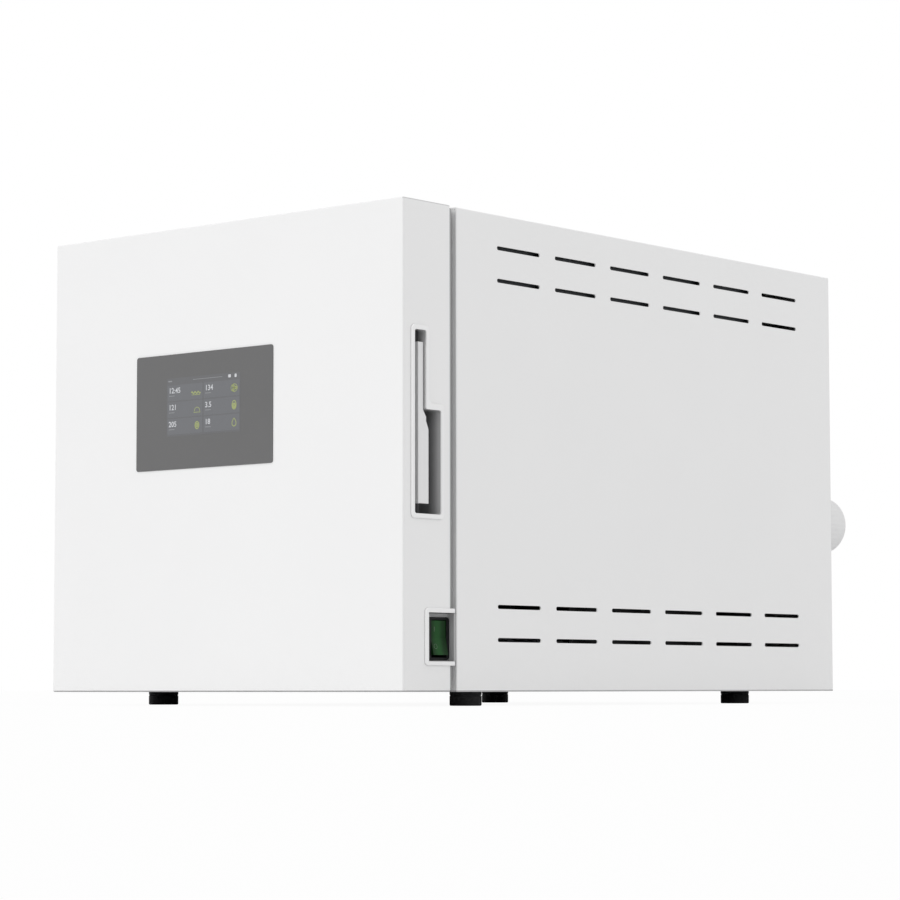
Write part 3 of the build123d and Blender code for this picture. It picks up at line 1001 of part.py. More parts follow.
Y_STUB_END = Y_JACKET + 4
Y_PIPE = Y_STUB_END + 12
steam_run = pipe([(X_MID - 16, Y_PIPE, Z_CHAMBER), (X_STEAM, Y_PIPE, Z_CHAMBER),
                  (X_STEAM, Y_SERVICE, Z_CHAMBER), (X_STEAM, Y_SERVICE, Z_FLOOR + STEAM_HEIGHT + 12)], 12)
filter_run = pipe([(X_MID + 16, Y_PIPE, Z_CHAMBER), (X_FILTER, Y_PIPE, Z_CHAMBER),
                   (X_FILTER, Y_PIPE, Z_FILTER), (X_FILTER, Y_REAR_INNER - 30, Z_FILTER)], 9)
vacuum_run = pipe([(X_MID - 8, Y_PIPE, Z_CHAMBER - 14), (X_MID - 8, Y_PIPE, Z_FLOOR + 110),
                   (X_MID - 8, Y_SERVICE - 10, Z_FLOOR + 110), (X_MID - 8, Y_SERVICE - 10, Z_FLOOR + 72)], 10)
with BuildPart() as steam_lines:
    block(around(X_MID, 16), (Y_STUB_END, Y_STUB_END + 24), around(Z_CHAMBER, 14))
    for run in (steam_run, filter_run, vacuum_run):
        add(run)
PIECES["steam_lines"] = steam_lines

for name, piece in PIECES.items():
    piece.part.label = name
    export_step(piece.part, f"parts/{name}.step")
print(len(PIECES), "pieces")
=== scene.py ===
import math
import bmesh
import bpy
import numpy as np
from mathutils import Matrix, Vector


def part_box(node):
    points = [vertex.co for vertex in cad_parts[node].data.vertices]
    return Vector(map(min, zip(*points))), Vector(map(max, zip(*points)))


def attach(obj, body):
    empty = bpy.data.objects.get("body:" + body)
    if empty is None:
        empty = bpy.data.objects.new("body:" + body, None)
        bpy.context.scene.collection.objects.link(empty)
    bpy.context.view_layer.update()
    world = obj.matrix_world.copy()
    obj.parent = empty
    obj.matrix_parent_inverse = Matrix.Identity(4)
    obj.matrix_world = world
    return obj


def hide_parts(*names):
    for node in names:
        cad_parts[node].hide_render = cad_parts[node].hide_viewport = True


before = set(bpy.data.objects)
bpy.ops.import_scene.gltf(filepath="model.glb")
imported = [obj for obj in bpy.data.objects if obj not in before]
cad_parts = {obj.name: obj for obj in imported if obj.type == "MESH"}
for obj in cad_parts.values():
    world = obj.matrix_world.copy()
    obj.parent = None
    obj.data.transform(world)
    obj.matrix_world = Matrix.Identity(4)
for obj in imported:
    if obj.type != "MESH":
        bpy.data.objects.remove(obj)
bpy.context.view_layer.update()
MM = 0.001

# Studio: a long lens just above the bench, looking slightly up at the front right edge.
# The light is soft and even, and the white bench keeps only a faint shadow.
FOCAL_PIXELS = 2951.67
SENSOR = 36.0
IMAGE_PIXELS = 900
CAMERA_AT = (1.89556, -2.26364, 0.01591)
CAMERA_TURN = math.radians(40.343)
CAMERA_RISE = math.radians(4.609)
CAMERA_ROLL = math.radians(-0.064)
CAMERA_REACH = 50
SKY_ON_OBJECT = 0.80
FRONT_SUN = 0.72
SIDE_SUN = 0.19
BENCH_SIZE = 30
BENCH_WHITE = 0.86
BENCH_GLOW = 0.94

scene = bpy.context.scene
scene.view_settings.view_transform = "Standard"
ahead = Vector((-math.sin(CAMERA_TURN) * math.cos(CAMERA_RISE),
                math.cos(CAMERA_TURN) * math.cos(CAMERA_RISE), math.sin(CAMERA_RISE)))
right = Vector((math.cos(CAMERA_TURN), math.sin(CAMERA_TURN), 0))
over = right.cross(ahead)
turned_right = right * math.cos(CAMERA_ROLL) + over * math.sin(CAMERA_ROLL)
turned_over = over * math.cos(CAMERA_ROLL) - right * math.sin(CAMERA_ROLL)
lens = bpy.data.cameras.new("camera")
lens.sensor_width = SENSOR
lens.lens = SENSOR * FOCAL_PIXELS / IMAGE_PIXELS
lens.clip_end = CAMERA_REACH
camera = bpy.data.objects.new("camera", lens)
camera.matrix_world = Matrix.Translation(CAMERA_AT) @ Matrix(
    (turned_right, turned_over, -ahead)).transposed().to_4x4()
scene.collection.objects.link(camera)
scene.camera = camera

world = bpy.data.worlds.new("studio")
scene.world = world
world.use_nodes = True
sky = world.node_tree.nodes["Background"]
sky.inputs["Color"].default_value = (1, 1, 1, 1)
seen = world.node_tree.nodes.new("ShaderNodeLightPath")
either = world.node_tree.nodes.new("ShaderNodeMath")
either.operation = "MAXIMUM"
world.node_tree.links.new(seen.outputs["Is Camera Ray"], either.inputs[0])
world.node_tree.links.new(seen.outputs["Is Glossy Ray"], either.inputs[1])
or_through = world.node_tree.nodes.new("ShaderNodeMath")
or_through.operation = "MAXIMUM"
world.node_tree.links.new(either.outputs[0], or_through.inputs[0])
world.node_tree.links.new(seen.outputs["Is Transmission Ray"], or_through.inputs[1])
strength = world.node_tree.nodes.new("ShaderNodeMapRange")
strength.inputs["To Min"].default_value = SKY_ON_OBJECT
strength.inputs["To Max"].default_value = 1.0
world.node_tree.links.new(or_through.outputs[0], strength.inputs["Value"])
world.node_tree.links.new(strength.outputs[0], sky.inputs["Strength"])


def sun(name, energy, towards, softness):
    """A soft sun that shines along the direction given."""
    lamp = bpy.data.lights.new(name, "SUN")
    lamp.energy = energy
    lamp.angle = math.radians(softness)
    holder = bpy.data.objects.new(name, lamp)
    holder.rotation_euler = Vector(towards).to_track_quat("-Z", "Y").to_euler()
    scene.collection.objects.link(holder)


# The first sun lights the front, and the weaker one comes down on the right side.
sun("front_sun", FRONT_SUN, (0.12, 1.0, -0.45), 40)
sun("side_sun", SIDE_SUN, (-1.0, 0.25, -0.8), 50)

bpy.ops.mesh.primitive_plane_add(size=BENCH_SIZE)
bench = bpy.context.object
bench.name = "bench_top"
bench_finish = bpy.data.materials.new("bench_white")
bench_finish.use_nodes = True
tree = bench_finish.node_tree
tree.nodes.clear()
matt = tree.nodes.new("ShaderNodeBsdfDiffuse")
matt.inputs["Color"].default_value = (BENCH_WHITE, BENCH_WHITE, BENCH_WHITE, 1)
glow = tree.nodes.new("ShaderNodeEmission")
path = tree.nodes.new("ShaderNodeLightPath")
share = tree.nodes.new("ShaderNodeMapRange")
share.inputs["To Max"].default_value = BENCH_GLOW
blend = tree.nodes.new("ShaderNodeMixShader")
result = tree.nodes.new("ShaderNodeOutputMaterial")
tree.links.new(path.outputs["Is Camera Ray"], share.inputs["Value"])
tree.links.new(share.outputs[0], blend.inputs[0])
tree.links.new(matt.outputs[0], blend.inputs[1])
tree.links.new(glow.outputs[0], blend.inputs[2])
tree.links.new(blend.outputs[0], result.inputs[0])
bench.data.materials.append(bench_finish)


# Painted sheet: the door's pan, the body's cover and the front and rear panels.
# They are folded steel under a white powder coat with a fine orange peel, a little uneven in gloss, with
# painted shade along their folds.
# The cover slides over the base tray, and the rear panel is screwed on behind it.
class Wire:
    """A value in a material: arithmetic on it adds Math nodes."""

    def __init__(self, tree, socket):
        self.tree = tree
        self.socket = socket

    def _combine(self, operation, first, second):
        node = self.tree.nodes.new("ShaderNodeMath")
        node.operation = operation
        for slot, value in zip(node.inputs, (first, second)):
            if isinstance(value, Wire):
                self.tree.links.new(value.socket, slot)
            else:
                slot.default_value = value
        return Wire(self.tree, node.outputs[0])

    def __add__(self, other):
        return self._combine("ADD", self, other)

    def __radd__(self, other):
        return self._combine("ADD", other, self)

    def __sub__(self, other):
        return self._combine("SUBTRACT", self, other)

    def __rsub__(self, other):
        return self._combine("SUBTRACT", other, self)

    def __mul__(self, other):
        return self._combine("MULTIPLY", self, other)

    def __rmul__(self, other):
        return self._combine("MULTIPLY", other, self)

    def __gt__(self, other):
        return self._combine("GREATER_THAN", self, other)

    def __lt__(self, other):
        return self._combine("LESS_THAN", self, other)


class Finish:
    """One material: a Principled shader, with nodes added by kind."""

    def __init__(self, name, **fixed):
        self.material = bpy.data.materials.new(name)
        self.material.use_nodes = True
        self.tree = self.material.node_tree
        self.shader = self.tree.nodes["Principled BSDF"]
        for socket, value in fixed.items():
            self.shader.inputs[socket.replace("_", " ")].default_value = value

    def node(self, kind, settings=None, output=0, **sockets):
        """A node of any kind: settings first, then the values or links of its sockets."""
        made = self.tree.nodes.new("ShaderNode" + kind)
        for key, value in (settings or {}).items():
            setattr(made, key, value)
        for key, value in sockets.items():
            slot = made.inputs[key.replace("_", " ")]
            if isinstance(value, Wire):
                self.tree.links.new(value.socket, slot)
            else:
                slot.default_value = value
        return Wire(self.tree, made.outputs[output])

    def place(self, scale=(1, 1, 1)):
        """Object coordinates, stretched along each axis."""
        spot = self.node("TexCoord", output="Object")
        return self.node("Mapping", Vector=spot, Scale=scale)

    def noise(self, scale, detail=2.0, stretch=(1, 1, 1)):
        """A cloudy value between 0 and 1."""
        return self.node("TexNoise", Vector=self.place(stretch), Scale=scale, Detail=detail)

    def tint(self, factor, low, high):
        """Two colours mixed by a factor; each is a triple or another mix."""
        made = self.tree.nodes.new("ShaderNodeMix")
        made.data_type = "RGBA"
        self.tree.links.new(factor.socket, made.inputs["Factor"])
        for slot, colour in ((made.inputs[6], low), (made.inputs[7], high)):
            if isinstance(colour, Wire):
                self.tree.links.new(colour.socket, slot)
            else:
                slot.default_value = (*colour, 1)
        return Wire(self.tree, made.outputs[2])

    def axes(self):
        """The object coordinates as three values, in metres."""
        spot = self.node("TexCoord", output="Object")
        return [self.node("SeparateXYZ", Vector=spot, output=axis) for axis in "XYZ"]

    def set(self, socket, wire):
        """Links a value to a socket of the shader."""
        self.tree.links.new(wire.socket, self.shader.inputs[socket])

    def relief(self, height, depth, strength=1.0):
        """A bump of the given depth in metres."""
        self.set("Normal", self.node("Bump", Height=height, Distance=depth, Strength=strength))


def dress(material, *nodes):
    """Gives CAD pieces their finish."""
    for name in nodes:
        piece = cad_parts[name]
        piece.data.materials.clear()
        piece.data.materials.append(material)


PAINT = (0.872, 0.872, 0.873)
PAINT_WORN = (0.85, 0.85, 0.852)
# Painted shade: the grey that the folds are darkened towards, where the bends face away from the light.
PAINTED_FOLD_SHADE = (0.42, 0.42, 0.425)
FOLD = 1.3 * MM
PEEL = 1100.0
PEEL_DEPTH = 0.02 * MM


def powder_coat(node):
    """Orange peel from a fine noise, cloudiness in colour and gloss, and painted shade along the lower fold
    and the right side's top and front edges.
    """
    low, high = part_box(node)
    coat = Finish(f"powder_coat_{node}", Specular_IOR_Level=0.35)
    x, y, z = coat.axes()
    cloud = coat.noise(9.0, 3.0)
    # Painted shade: the lower fold and the right side's top and front edges are mixed towards the fold shade
    # grey, as bends turned away from the light.
    near_right = x > high.x - FOLD
    near_front = y < low.y + FOLD
    lower_fold_painted_shade = (z < low.z + FOLD) * (0.75 + 0.3 * coat.noise(12.0))
    side_edge_painted_shade = near_right * ((z > high.z - FOLD) + 0.35 * near_front)
    fold = lower_fold_painted_shade + 0.5 * side_edge_painted_shade
    coat.set("Base Color", coat.tint(fold, coat.tint(cloud, PAINT_WORN, PAINT), PAINTED_FOLD_SHADE))
    coat.set("Roughness", 0.46 + 0.1 * coat.noise(40.0))
    coat.relief(coat.noise(PEEL, 3.0), PEEL_DEPTH, 0.6)
    dress(coat.material, node)


# Each piece has its own coat, because its folds lie at the edges of its own box.
for painted in ("door_shell", "outer_cover", "front_frame", "rear_panel"):
    powder_coat(painted)


# Moulded pieces: the lid of the water filler, the flap handle, the door's liner, the tanks, the buttons
# and the black housings. They are satin plastic with the fine grain of a spark-eroded mould, and are
# clipped or screwed in from behind. The two surrounds are a pale rim round a pocket darkened with
# painted shade, with a painted shadow line along each rim's foot.
MOULD_GRAIN = 0.03 * MM
RIM_PROUD = 1.8 * MM
# Width of the painted shadow line along each rim's foot.
RIM_SHADOW_LINE = 0.45 * MM


def moulded(name, colour, second, grain, roughness, depth=MOULD_GRAIN, **fixed):
    """Spark-eroded grain: a fine noise in relief, with a slight drift of colour and gloss."""
    skin = Finish(name, **fixed)
    skin.set("Base Color", skin.tint(skin.noise(14.0, 3.0), second, colour))
    skin.set("Roughness", roughness + 0.12 * skin.noise(60.0))
    skin.relief(skin.noise(grain, 4.0), depth, 0.5)
    return skin.material


dress(moulded("rim_plastic", (0.70, 0.70, 0.705), (0.67, 0.67, 0.675), 1600.0, 0.42), "filler_lid")


def recess_moulding(name, node, pocket_shade_at_rim, pocket_shade_deep, depth):
    """A pale rim over a pocket in painted shade that deepens with the distance in from the door's side, and
    a painted shadow line along the rim's foot.
    """
    skin = Finish(name)
    x = skin.axes()[0]
    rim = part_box(node)[1].x - RIM_PROUD
    # Painted shade in the pocket: the grey darkens the deeper it lies below the rim.
    inside = skin.node("MapRange", Value=x, From_Min=rim - depth, From_Max=rim)
    pocket = skin.tint(inside, pocket_shade_deep, pocket_shade_at_rim)
    # Painted shadow line: a dark band along the rim's foot, where it meets the door's side.
    foot = (x < rim + RIM_SHADOW_LINE) * (x > rim - 0.1 * MM)
    face = skin.tint(skin.noise(14.0, 3.0), (0.87, 0.87, 0.872), (0.89, 0.89, 0.892))
    shade = skin.tint(x > rim, pocket, face)
    skin.set("Base Color", skin.tint(0.7 * foot, shade, (0.2, 0.2, 0.2)))
    skin.set("Roughness", 0.4 + 0.12 * skin.noise(60.0))
    skin.relief(skin.noise(1600.0, 4.0), MOULD_GRAIN, 0.5)
    dress(skin.material, node)


# The two pocket greys are painted shade: lighter at the rim, darkest at the bottom of the recess.
recess_moulding("handle_moulding", "handle_housing", (0.52, 0.52, 0.525), (0.16, 0.16, 0.165), 14 * MM)
recess_moulding("switch_moulding", "switch_surround", (0.62, 0.62, 0.625), (0.30, 0.30, 0.305), 12 * MM)
dress(moulded("flap_plastic", (0.80, 0.80, 0.802), (0.775, 0.775, 0.778), 1600.0, 0.42), "handle_lever")
dress(moulded("liner_plastic", (0.36, 0.365, 0.37), (0.34, 0.345, 0.35), 900.0, 0.55, 0.06 * MM),
      "door_liner", "filter_socket")
dress(moulded("carrier_plastic", (0.42, 0.42, 0.425), (0.38, 0.38, 0.385), 900.0, 0.5), "switch_carrier")
dress(moulded("tank_plastic", (0.055, 0.06, 0.066), (0.04, 0.045, 0.05), 300.0, 0.4, 0.05 * MM),
      "clean_water_tank", "used_water_tank")
dress(moulded("black_plastic", (0.045, 0.046, 0.05), (0.035, 0.036, 0.04), 1200.0, 0.5),
      "display_module", "lock_solenoid", "fan_frame", "fan_rotor", "water_pump", "mains_inlet",
      "cutout_bush", "drain_knob_clean", "drain_knob_used")
dress(moulded("red_button_plastic", (0.55, 0.045, 0.035), (0.48, 0.035, 0.03), 900.0, 0.3), "reset_button")


# Display: a grey glossy cover plate, bonded into the door's window over a lit screen. The screen shows
# plain numbers at the left of six cells, a small sign at the right of each, and a thin bar along the top.
def into_mesh(name, points, faces, material, body, sharp=35.0):
    """Points and faces made a clean closed mesh: doubles merged, normals outward, smooth below an angle."""
    mesh = bpy.data.meshes.new(name)
    mesh.from_pydata(points.tolist(), [], faces)
    work = bmesh.new()
    work.from_mesh(mesh)
    bmesh.ops.remove_doubles(work, verts=work.verts, dist=1e-6)
    bmesh.ops.recalc_face_normals(work, faces=work.faces)
    work.to_mesh(mesh)
    work.free()
    mesh.shade_smooth()
    mesh.set_sharp_from_angle(angle=math.radians(sharp))
    mesh.materials.append(material)
    piece = bpy.data.objects.new(name, mesh)
    scene.collection.objects.link(piece)
    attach(piece, body)
    return piece


def raised(name, outline, front, rise, material, body):
    """A flat shape in the door's plane, raised forward: an outline in X and Z, closed by two fans."""
    n = len(outline)
    middle = outline.mean(0)
    rings = [np.c_[outline[:, 0], np.full(n, y), outline[:, 1]] for y in (front, front - rise)]
    caps = np.array([[middle[0], front, middle[1]], [middle[0], front - rise, middle[1]]])
    points = np.vstack(rings + [caps])
    k = np.arange(n)
    nxt = (k + 1) % n
    walls = np.c_[k, nxt, nxt + n, k + n]
    back = np.c_[np.full(n, 2 * n), nxt, k]
    face = np.c_[np.full(n, 2 * n + 1), k + n, nxt + n]
    return into_mesh(name, points, walls.tolist() + back.tolist() + face.tolist(), material, body)


def round_cornered(x, z, width, height, radius, steps=8):
    """A rounded rectangle's outline: four quarter turns about the corners' centres."""
    turn = np.linspace(0, 2 * math.pi, 4 * steps, endpoint=False) + math.pi / (4 * steps)
    quarter = np.floor(turn / (math.pi / 2))
    spread_x = np.where((quarter == 0) | (quarter == 3), 1, -1) * (width / 2 - radius)
    spread_z = np.where(quarter < 2, 1, -1) * (height / 2 - radius)
    return np.c_[x + spread_x + radius * np.cos(turn), z + spread_z + radius * np.sin(turn)]


def stroke(name, line, width, front, rise, material, body):
    """A line sign: a strip of even width along a run of points in X and Z."""
    line = np.asarray(line, float)
    along = np.gradient(line, axis=0)
    across = np.c_[-along[:, 1], along[:, 0]] / np.linalg.norm(along, axis=1)[:, None] * width / 2
    n = len(line)
    layers = [np.c_[side[:, 0], np.full(n, y), side[:, 1]]
              for y in (front, front - rise) for side in (line - across, line + across)]
    points = np.vstack(layers)
    k = np.arange(n - 1)
    faces = []
    for a, b in ((0, 1), (1, 3), (3, 2), (2, 0)):
        faces += np.c_[a * n + k, a * n + k + 1, b * n + k + 1, b * n + k].tolist()
    for end in (0, n - 1):
        faces.append([end, n + end, 3 * n + end, 2 * n + end])
    return into_mesh(name, points, faces, material, body)


panel_low, panel_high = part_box("display_panel")
PANEL_FACE = panel_low.y
SCREEN_X = (panel_low.x + panel_high.x) / 2
SCREEN_RISE = 4.3 * MM
SCREEN_Z = (panel_low.z + panel_high.z) / 2 + SCREEN_RISE
SCREEN_W = 95
SCREEN_H = 54
INK = 0.06 * MM
TOP_LAYER = 3
FIGURE_SIZE = 6.958 * MM
FIGURE_WEIGHT = 0.1 * MM
GLOSS_DEPTH = 0.01 * MM
cover_plate = Finish("display_cover_plate", Specular_IOR_Level=0.4)
cover_plate.set("Base Color", cover_plate.tint(cover_plate.noise(20.0, 2.0), (0.126, 0.126, 0.127),
                                               (0.134, 0.134, 0.135)))
cover_plate.set("Roughness", 0.3 + 0.06 * cover_plate.noise(50.0))
cover_plate.relief(cover_plate.noise(700.0, 2.0), GLOSS_DEPTH, 0.3)
dress(cover_plate.material, "display_panel")
PIXELS = 6000


def lit(name, colour, second, glow):
    """A lit part of the screen: a fine pixel grid in its colour and a little light of its own."""
    face = Finish(name, Roughness=0.35, Emission_Strength=glow, Specular_IOR_Level=0.3)
    spot = face.place((PIXELS, 1, PIXELS))
    dots = face.node("TexChecker", Vector=spot, Scale=1.0, output=1)
    shade = face.tint(dots, second, colour)
    face.set("Base Color", shade)
    face.set("Emission Color", shade)
    return face.material


SCREEN_BLUE = lit("screen_ground", (0.142, 0.144, 0.15), (0.136, 0.138, 0.144), 0.06)
CELL_BLUE = lit("screen_cell", (0.158, 0.162, 0.172), (0.150, 0.154, 0.164), 0.06)
SCREEN_WHITE = lit("screen_white", (0.58, 0.59, 0.61), (0.52, 0.53, 0.55), 0.12)
SCREEN_DIM = lit("screen_dim", (0.27, 0.275, 0.285), (0.25, 0.255, 0.265), 0.06)
SCREEN_GREEN = lit("screen_green", (0.33, 0.37, 0.16), (0.30, 0.34, 0.14), 0.12)


def on_screen(x, z):
    """A place on the screen, from its upper left corner, in millimetres."""
    return SCREEN_X + (x - SCREEN_W / 2) * MM, SCREEN_Z + (SCREEN_H / 2 - z) * MM


def flat_plate(name, x, z, width, height, radius, material, layer):
    """A rounded plate one layer of ink thick, from its upper left corner on the screen."""
    cx, cz = on_screen(x + width / 2, z + height / 2)
    outline = round_cornered(cx, cz, width * MM, height * MM, radius * MM)
    piece = raised(name, outline, PANEL_FACE - (layer - 1) * INK, INK, material, "door")


def number(name, words, x, z):
    """Plain figures, made a mesh and set upright on the screen."""
    letters = bpy.data.curves.new(name + "_letters", "FONT")
    letters.body = words
    letters.size = FIGURE_SIZE
    letters.extrude = INK / 2
    letters.offset = FIGURE_WEIGHT
    letters.resolution_u = 3
    draft = bpy.data.objects.new(name + "_draft", letters)
    scene.collection.objects.link(draft)
    bpy.context.view_layer.update()
    mesh = bpy.data.meshes.new_from_object(draft)
    bpy.data.objects.remove(draft)
    mesh.name = name
    left, base = on_screen(x, z)
    mesh.transform(Matrix.Translation((left, PANEL_FACE - (TOP_LAYER - 0.5) * INK, base))
                   @ Matrix.Rotation(math.pi / 2, 4, "X"))
    mesh.materials.clear()
    mesh.materials.append(SCREEN_WHITE)
    piece = bpy.data.objects.new(name, mesh)
    scene.collection.objects.link(piece)
    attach(piece, "door")


def sign(name, x, z, curve, width):
    """A line sign about a place on the screen: a curve of one parameter from 0 to 1, in millimetres."""
    t = np.linspace(0, 1, 40)
    dx, dz = curve(t)
    cx, cz = on_screen(x, z)
    line = np.c_[cx + dx * MM, cz + dz * MM]
    piece = stroke(name, line, width * MM, PANEL_FACE - 2 * INK, INK, SCREEN_GREEN, "door")


flat_plate("screen_ground", 0, 0, SCREEN_W, SCREEN_H, 0.6, SCREEN_BLUE, 1)
CELL_W = 45.8
CELL_H = 14.6
CELL_TOPS = (6.6, 22.2, 37.8)
CELL_LEFTS = (0.9, 48.2)
CELL_CORNER = 0.8
FIGURE_IN = 1.6
FIGURE_DOWN = 7.4
READINGS = (("12:45", "134"), ("121", "3.5"), ("205", "18"))
for row, top in enumerate(CELL_TOPS):
    for column, left in enumerate(CELL_LEFTS):
        flat_plate(f"screen_cell_{row}_{column}", left, top, CELL_W, CELL_H, CELL_CORNER, CELL_BLUE, 2)
        number(f"reading_{row}_{column}", READINGS[row][column], left + FIGURE_IN, top + FIGURE_DOWN)
        flat_plate(f"reading_line_{row}_{column}", left + 1.8, top + 9.6, 7.5, 0.7, 0.3,
                   SCREEN_DIM, TOP_LAYER)
flat_plate("status_line", 34, 2.6, 38, 0.5, 0.2, SCREEN_DIM, 2)
flat_plate("status_left", 1.6, 2.2, 5, 1.2, 0.4, SCREEN_DIM, 2)
flat_plate("status_battery", 79.5, 1.4, 3.4, 2.8, 0.5, SCREEN_WHITE, 2)
flat_plate("status_dot", 87.6, 1.2, 2.6, 3.2, 0.9, SCREEN_WHITE, 2)


def ring(radius, wide):
    """An oval: a cosine and a sine, with the cosine made wider or narrower."""
    return lambda t: (radius * wide * np.cos(2 * math.pi * t), radius * np.sin(2 * math.pi * t))


def level(length):
    """A straight level line about the place given."""
    return lambda t: (length * t - length / 2, 0 * t)


def wave(t):
    """Three periods of a sine."""
    return 12 * t - 6, 0.9 * np.sin(6 * math.pi * t)


def arch(t):
    """The upper half of an oval."""
    return 3.6 * np.cos(math.pi * t), 3.8 * np.sin(math.pi * t) - 1.6


def blades(t):
    """A circle whose radius swells three times on the way round."""
    reach = 1.6 + 1.7 * np.cos(6 * math.pi * t)
    return reach * np.cos(2 * math.pi * t), reach * np.sin(2 * math.pi * t)


def drop(t):
    """An oval drawn in towards its upper end, by a power of a sine."""
    return 3.1 * np.sin(2 * math.pi * t) * np.sin(math.pi * t) ** 0.7, 3.6 * np.cos(2 * math.pi * t)


SIGN_LEFT = 38.6
SIGN_RIGHT = 87.2
for name, x, z, curve, width in (
        ("sign_wave", SIGN_LEFT - 0.6, 15.2, wave, 1.1),
        ("sign_wave_base", SIGN_LEFT - 0.6, 17.2, level(11), 0.5),
        ("sign_arch", SIGN_LEFT + 1, 31.0, arch, 0.6),
        ("sign_arch_foot", SIGN_LEFT + 1, 33.4, level(9), 0.5),
        ("sign_bottle", SIGN_LEFT + 1, 45.4, ring(3.2, 0.78), 1.0),
        ("sign_bottle_fill", SIGN_LEFT + 1, 45.4, ring(1.4, 0.8), 1.2),
        ("sign_fan", SIGN_RIGHT, 14.0, blades, 1.1),
        ("sign_fan_ring", SIGN_RIGHT, 14.0, ring(3.5, 1.15), 0.6),
        ("sign_flask", SIGN_RIGHT, 29.6, ring(3.9, 0.66), 0.9),
        ("sign_flask_fill", SIGN_RIGHT, 30.2, ring(1.8, 0.7), 1.6),
        ("sign_drop", SIGN_RIGHT, 45.4, drop, 0.8)):
    sign(name, x, z, curve, width)

# Switch: a black moulded bezel, snapped into its carrier, with a green rocker that turns on a pin.
# The green is brighter along the rocker's middle, where the light comes through it.
dress(moulded("switch_black", (0.010, 0.010, 0.011), (0.007, 0.007, 0.008), 1200.0, 0.38,
              Specular_IOR_Level=0.15), "power_switch")
rocker_low, rocker_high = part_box("power_rocker")
ROCKER_MIDDLE = (rocker_low + rocker_high) / 2
ROCKER_HALF_WIDTH = (rocker_high.y - rocker_low.y) / 2
GREEN_OFF_MIDDLE = 0.15
rocker = Finish("rocker_green", Specular_IOR_Level=0.12)
across = (rocker.axes()[1] - ROCKER_MIDDLE.y) * (1 / ROCKER_HALF_WIDTH)
band = rocker.node("MapRange", {"interpolation_type": "SMOOTHSTEP"},
                   Value=rocker.node("Math", {"operation": "ABSOLUTE"}, Value=across + GREEN_OFF_MIDDLE),
                   From_Min=0.7, From_Max=0.1)
green = rocker.tint(band, (0.003, 0.026, 0.004), (0.012, 0.075, 0.016))
rocker.set("Base Color", rocker.tint(0.25 * rocker.noise(25.0, 2.0), green, (0.010, 0.045, 0.012)))
rocker.set("Roughness", 0.32 + 0.1 * rocker.noise(60.0))
rocker.relief(rocker.noise(600.0, 2.0), GLOSS_DEPTH, 0.3)
dress(rocker.material, "power_rocker")

# Marks: pale ink, printed on the rocker a little off its middle.
# The ring is on the lower face, which stands proud, and the stroke is on the upper one.
ROCKER_TILT = math.radians(6)
FOLD_BACK = 3.16 * MM
FOLD_DOWN = 0.16 * MM
MARK_OFFSET = -5.5 * MM
MARK_FROM_FOLD = 7.6 * MM
MARK_RADIUS = 2.1 * MM
STROKE_HALF = 0.35 * MM
PRINT = 0.18 * MM
mark_ink = Finish("mark_ink", Specular_IOR_Level=0.2)
mark_ink.set("Base Color", mark_ink.tint(mark_ink.noise(300.0), (0.10, 0.15, 0.10), (0.14, 0.20, 0.14)))
mark_ink.set("Roughness", 0.5 + 0.2 * mark_ink.noise(200.0))


def looped(name, spine, sideways, outward):
    """A closed bead: at each point of the spine a small circle in the sideways and outward directions."""
    steps = 12
    around_bead = np.linspace(0, 2 * math.pi, steps, endpoint=False)[None, :, None]
    points = spine[:, None, :] + PRINT * (np.cos(around_bead) * sideways[:, None, :]
                                          + np.sin(around_bead) * outward)
    n = len(spine)
    k, j = np.meshgrid(np.arange(n), np.arange(steps), indexing="ij")
    corner = [((k + a) % n) * steps + (j + b) % steps for a, b in ((0, 0), (1, 0), (1, 1), (0, 1))]
    faces = np.stack([c.ravel() for c in corner], 1)
    piece = into_mesh(name, points.reshape(-1, 3), faces.tolist(), mark_ink.material, "rocker")


def face_mark(name, along_face, lean, half_wide):
    """An oval bead on a face of the rocker: at a distance from the fold, on a face leaning by an angle."""
    down = np.array([math.sin(lean), 0, -math.cos(lean)])
    out = np.array([math.cos(lean), 0, math.sin(lean)])
    sideways = np.array([0.0, 1.0, 0.0])
    fold = np.array([rocker_high.x - FOLD_BACK, ROCKER_MIDDLE.y + MARK_OFFSET, ROCKER_MIDDLE.z - FOLD_DOWN])
    centre = fold + along_face * down
    turn = np.linspace(0, 2 * math.pi, 48, endpoint=False)[:, None]
    radial = np.cos(turn) * sideways + np.sin(turn) * down
    spine = centre + half_wide * np.cos(turn) * sideways + MARK_RADIUS * np.sin(turn) * down
    looped(name, spine, radial, out)


face_mark("mark_ring", MARK_FROM_FOLD, 2 * ROCKER_TILT, MARK_RADIUS)
face_mark("mark_stroke", -MARK_FROM_FOLD, 0.0, STROKE_HALF)


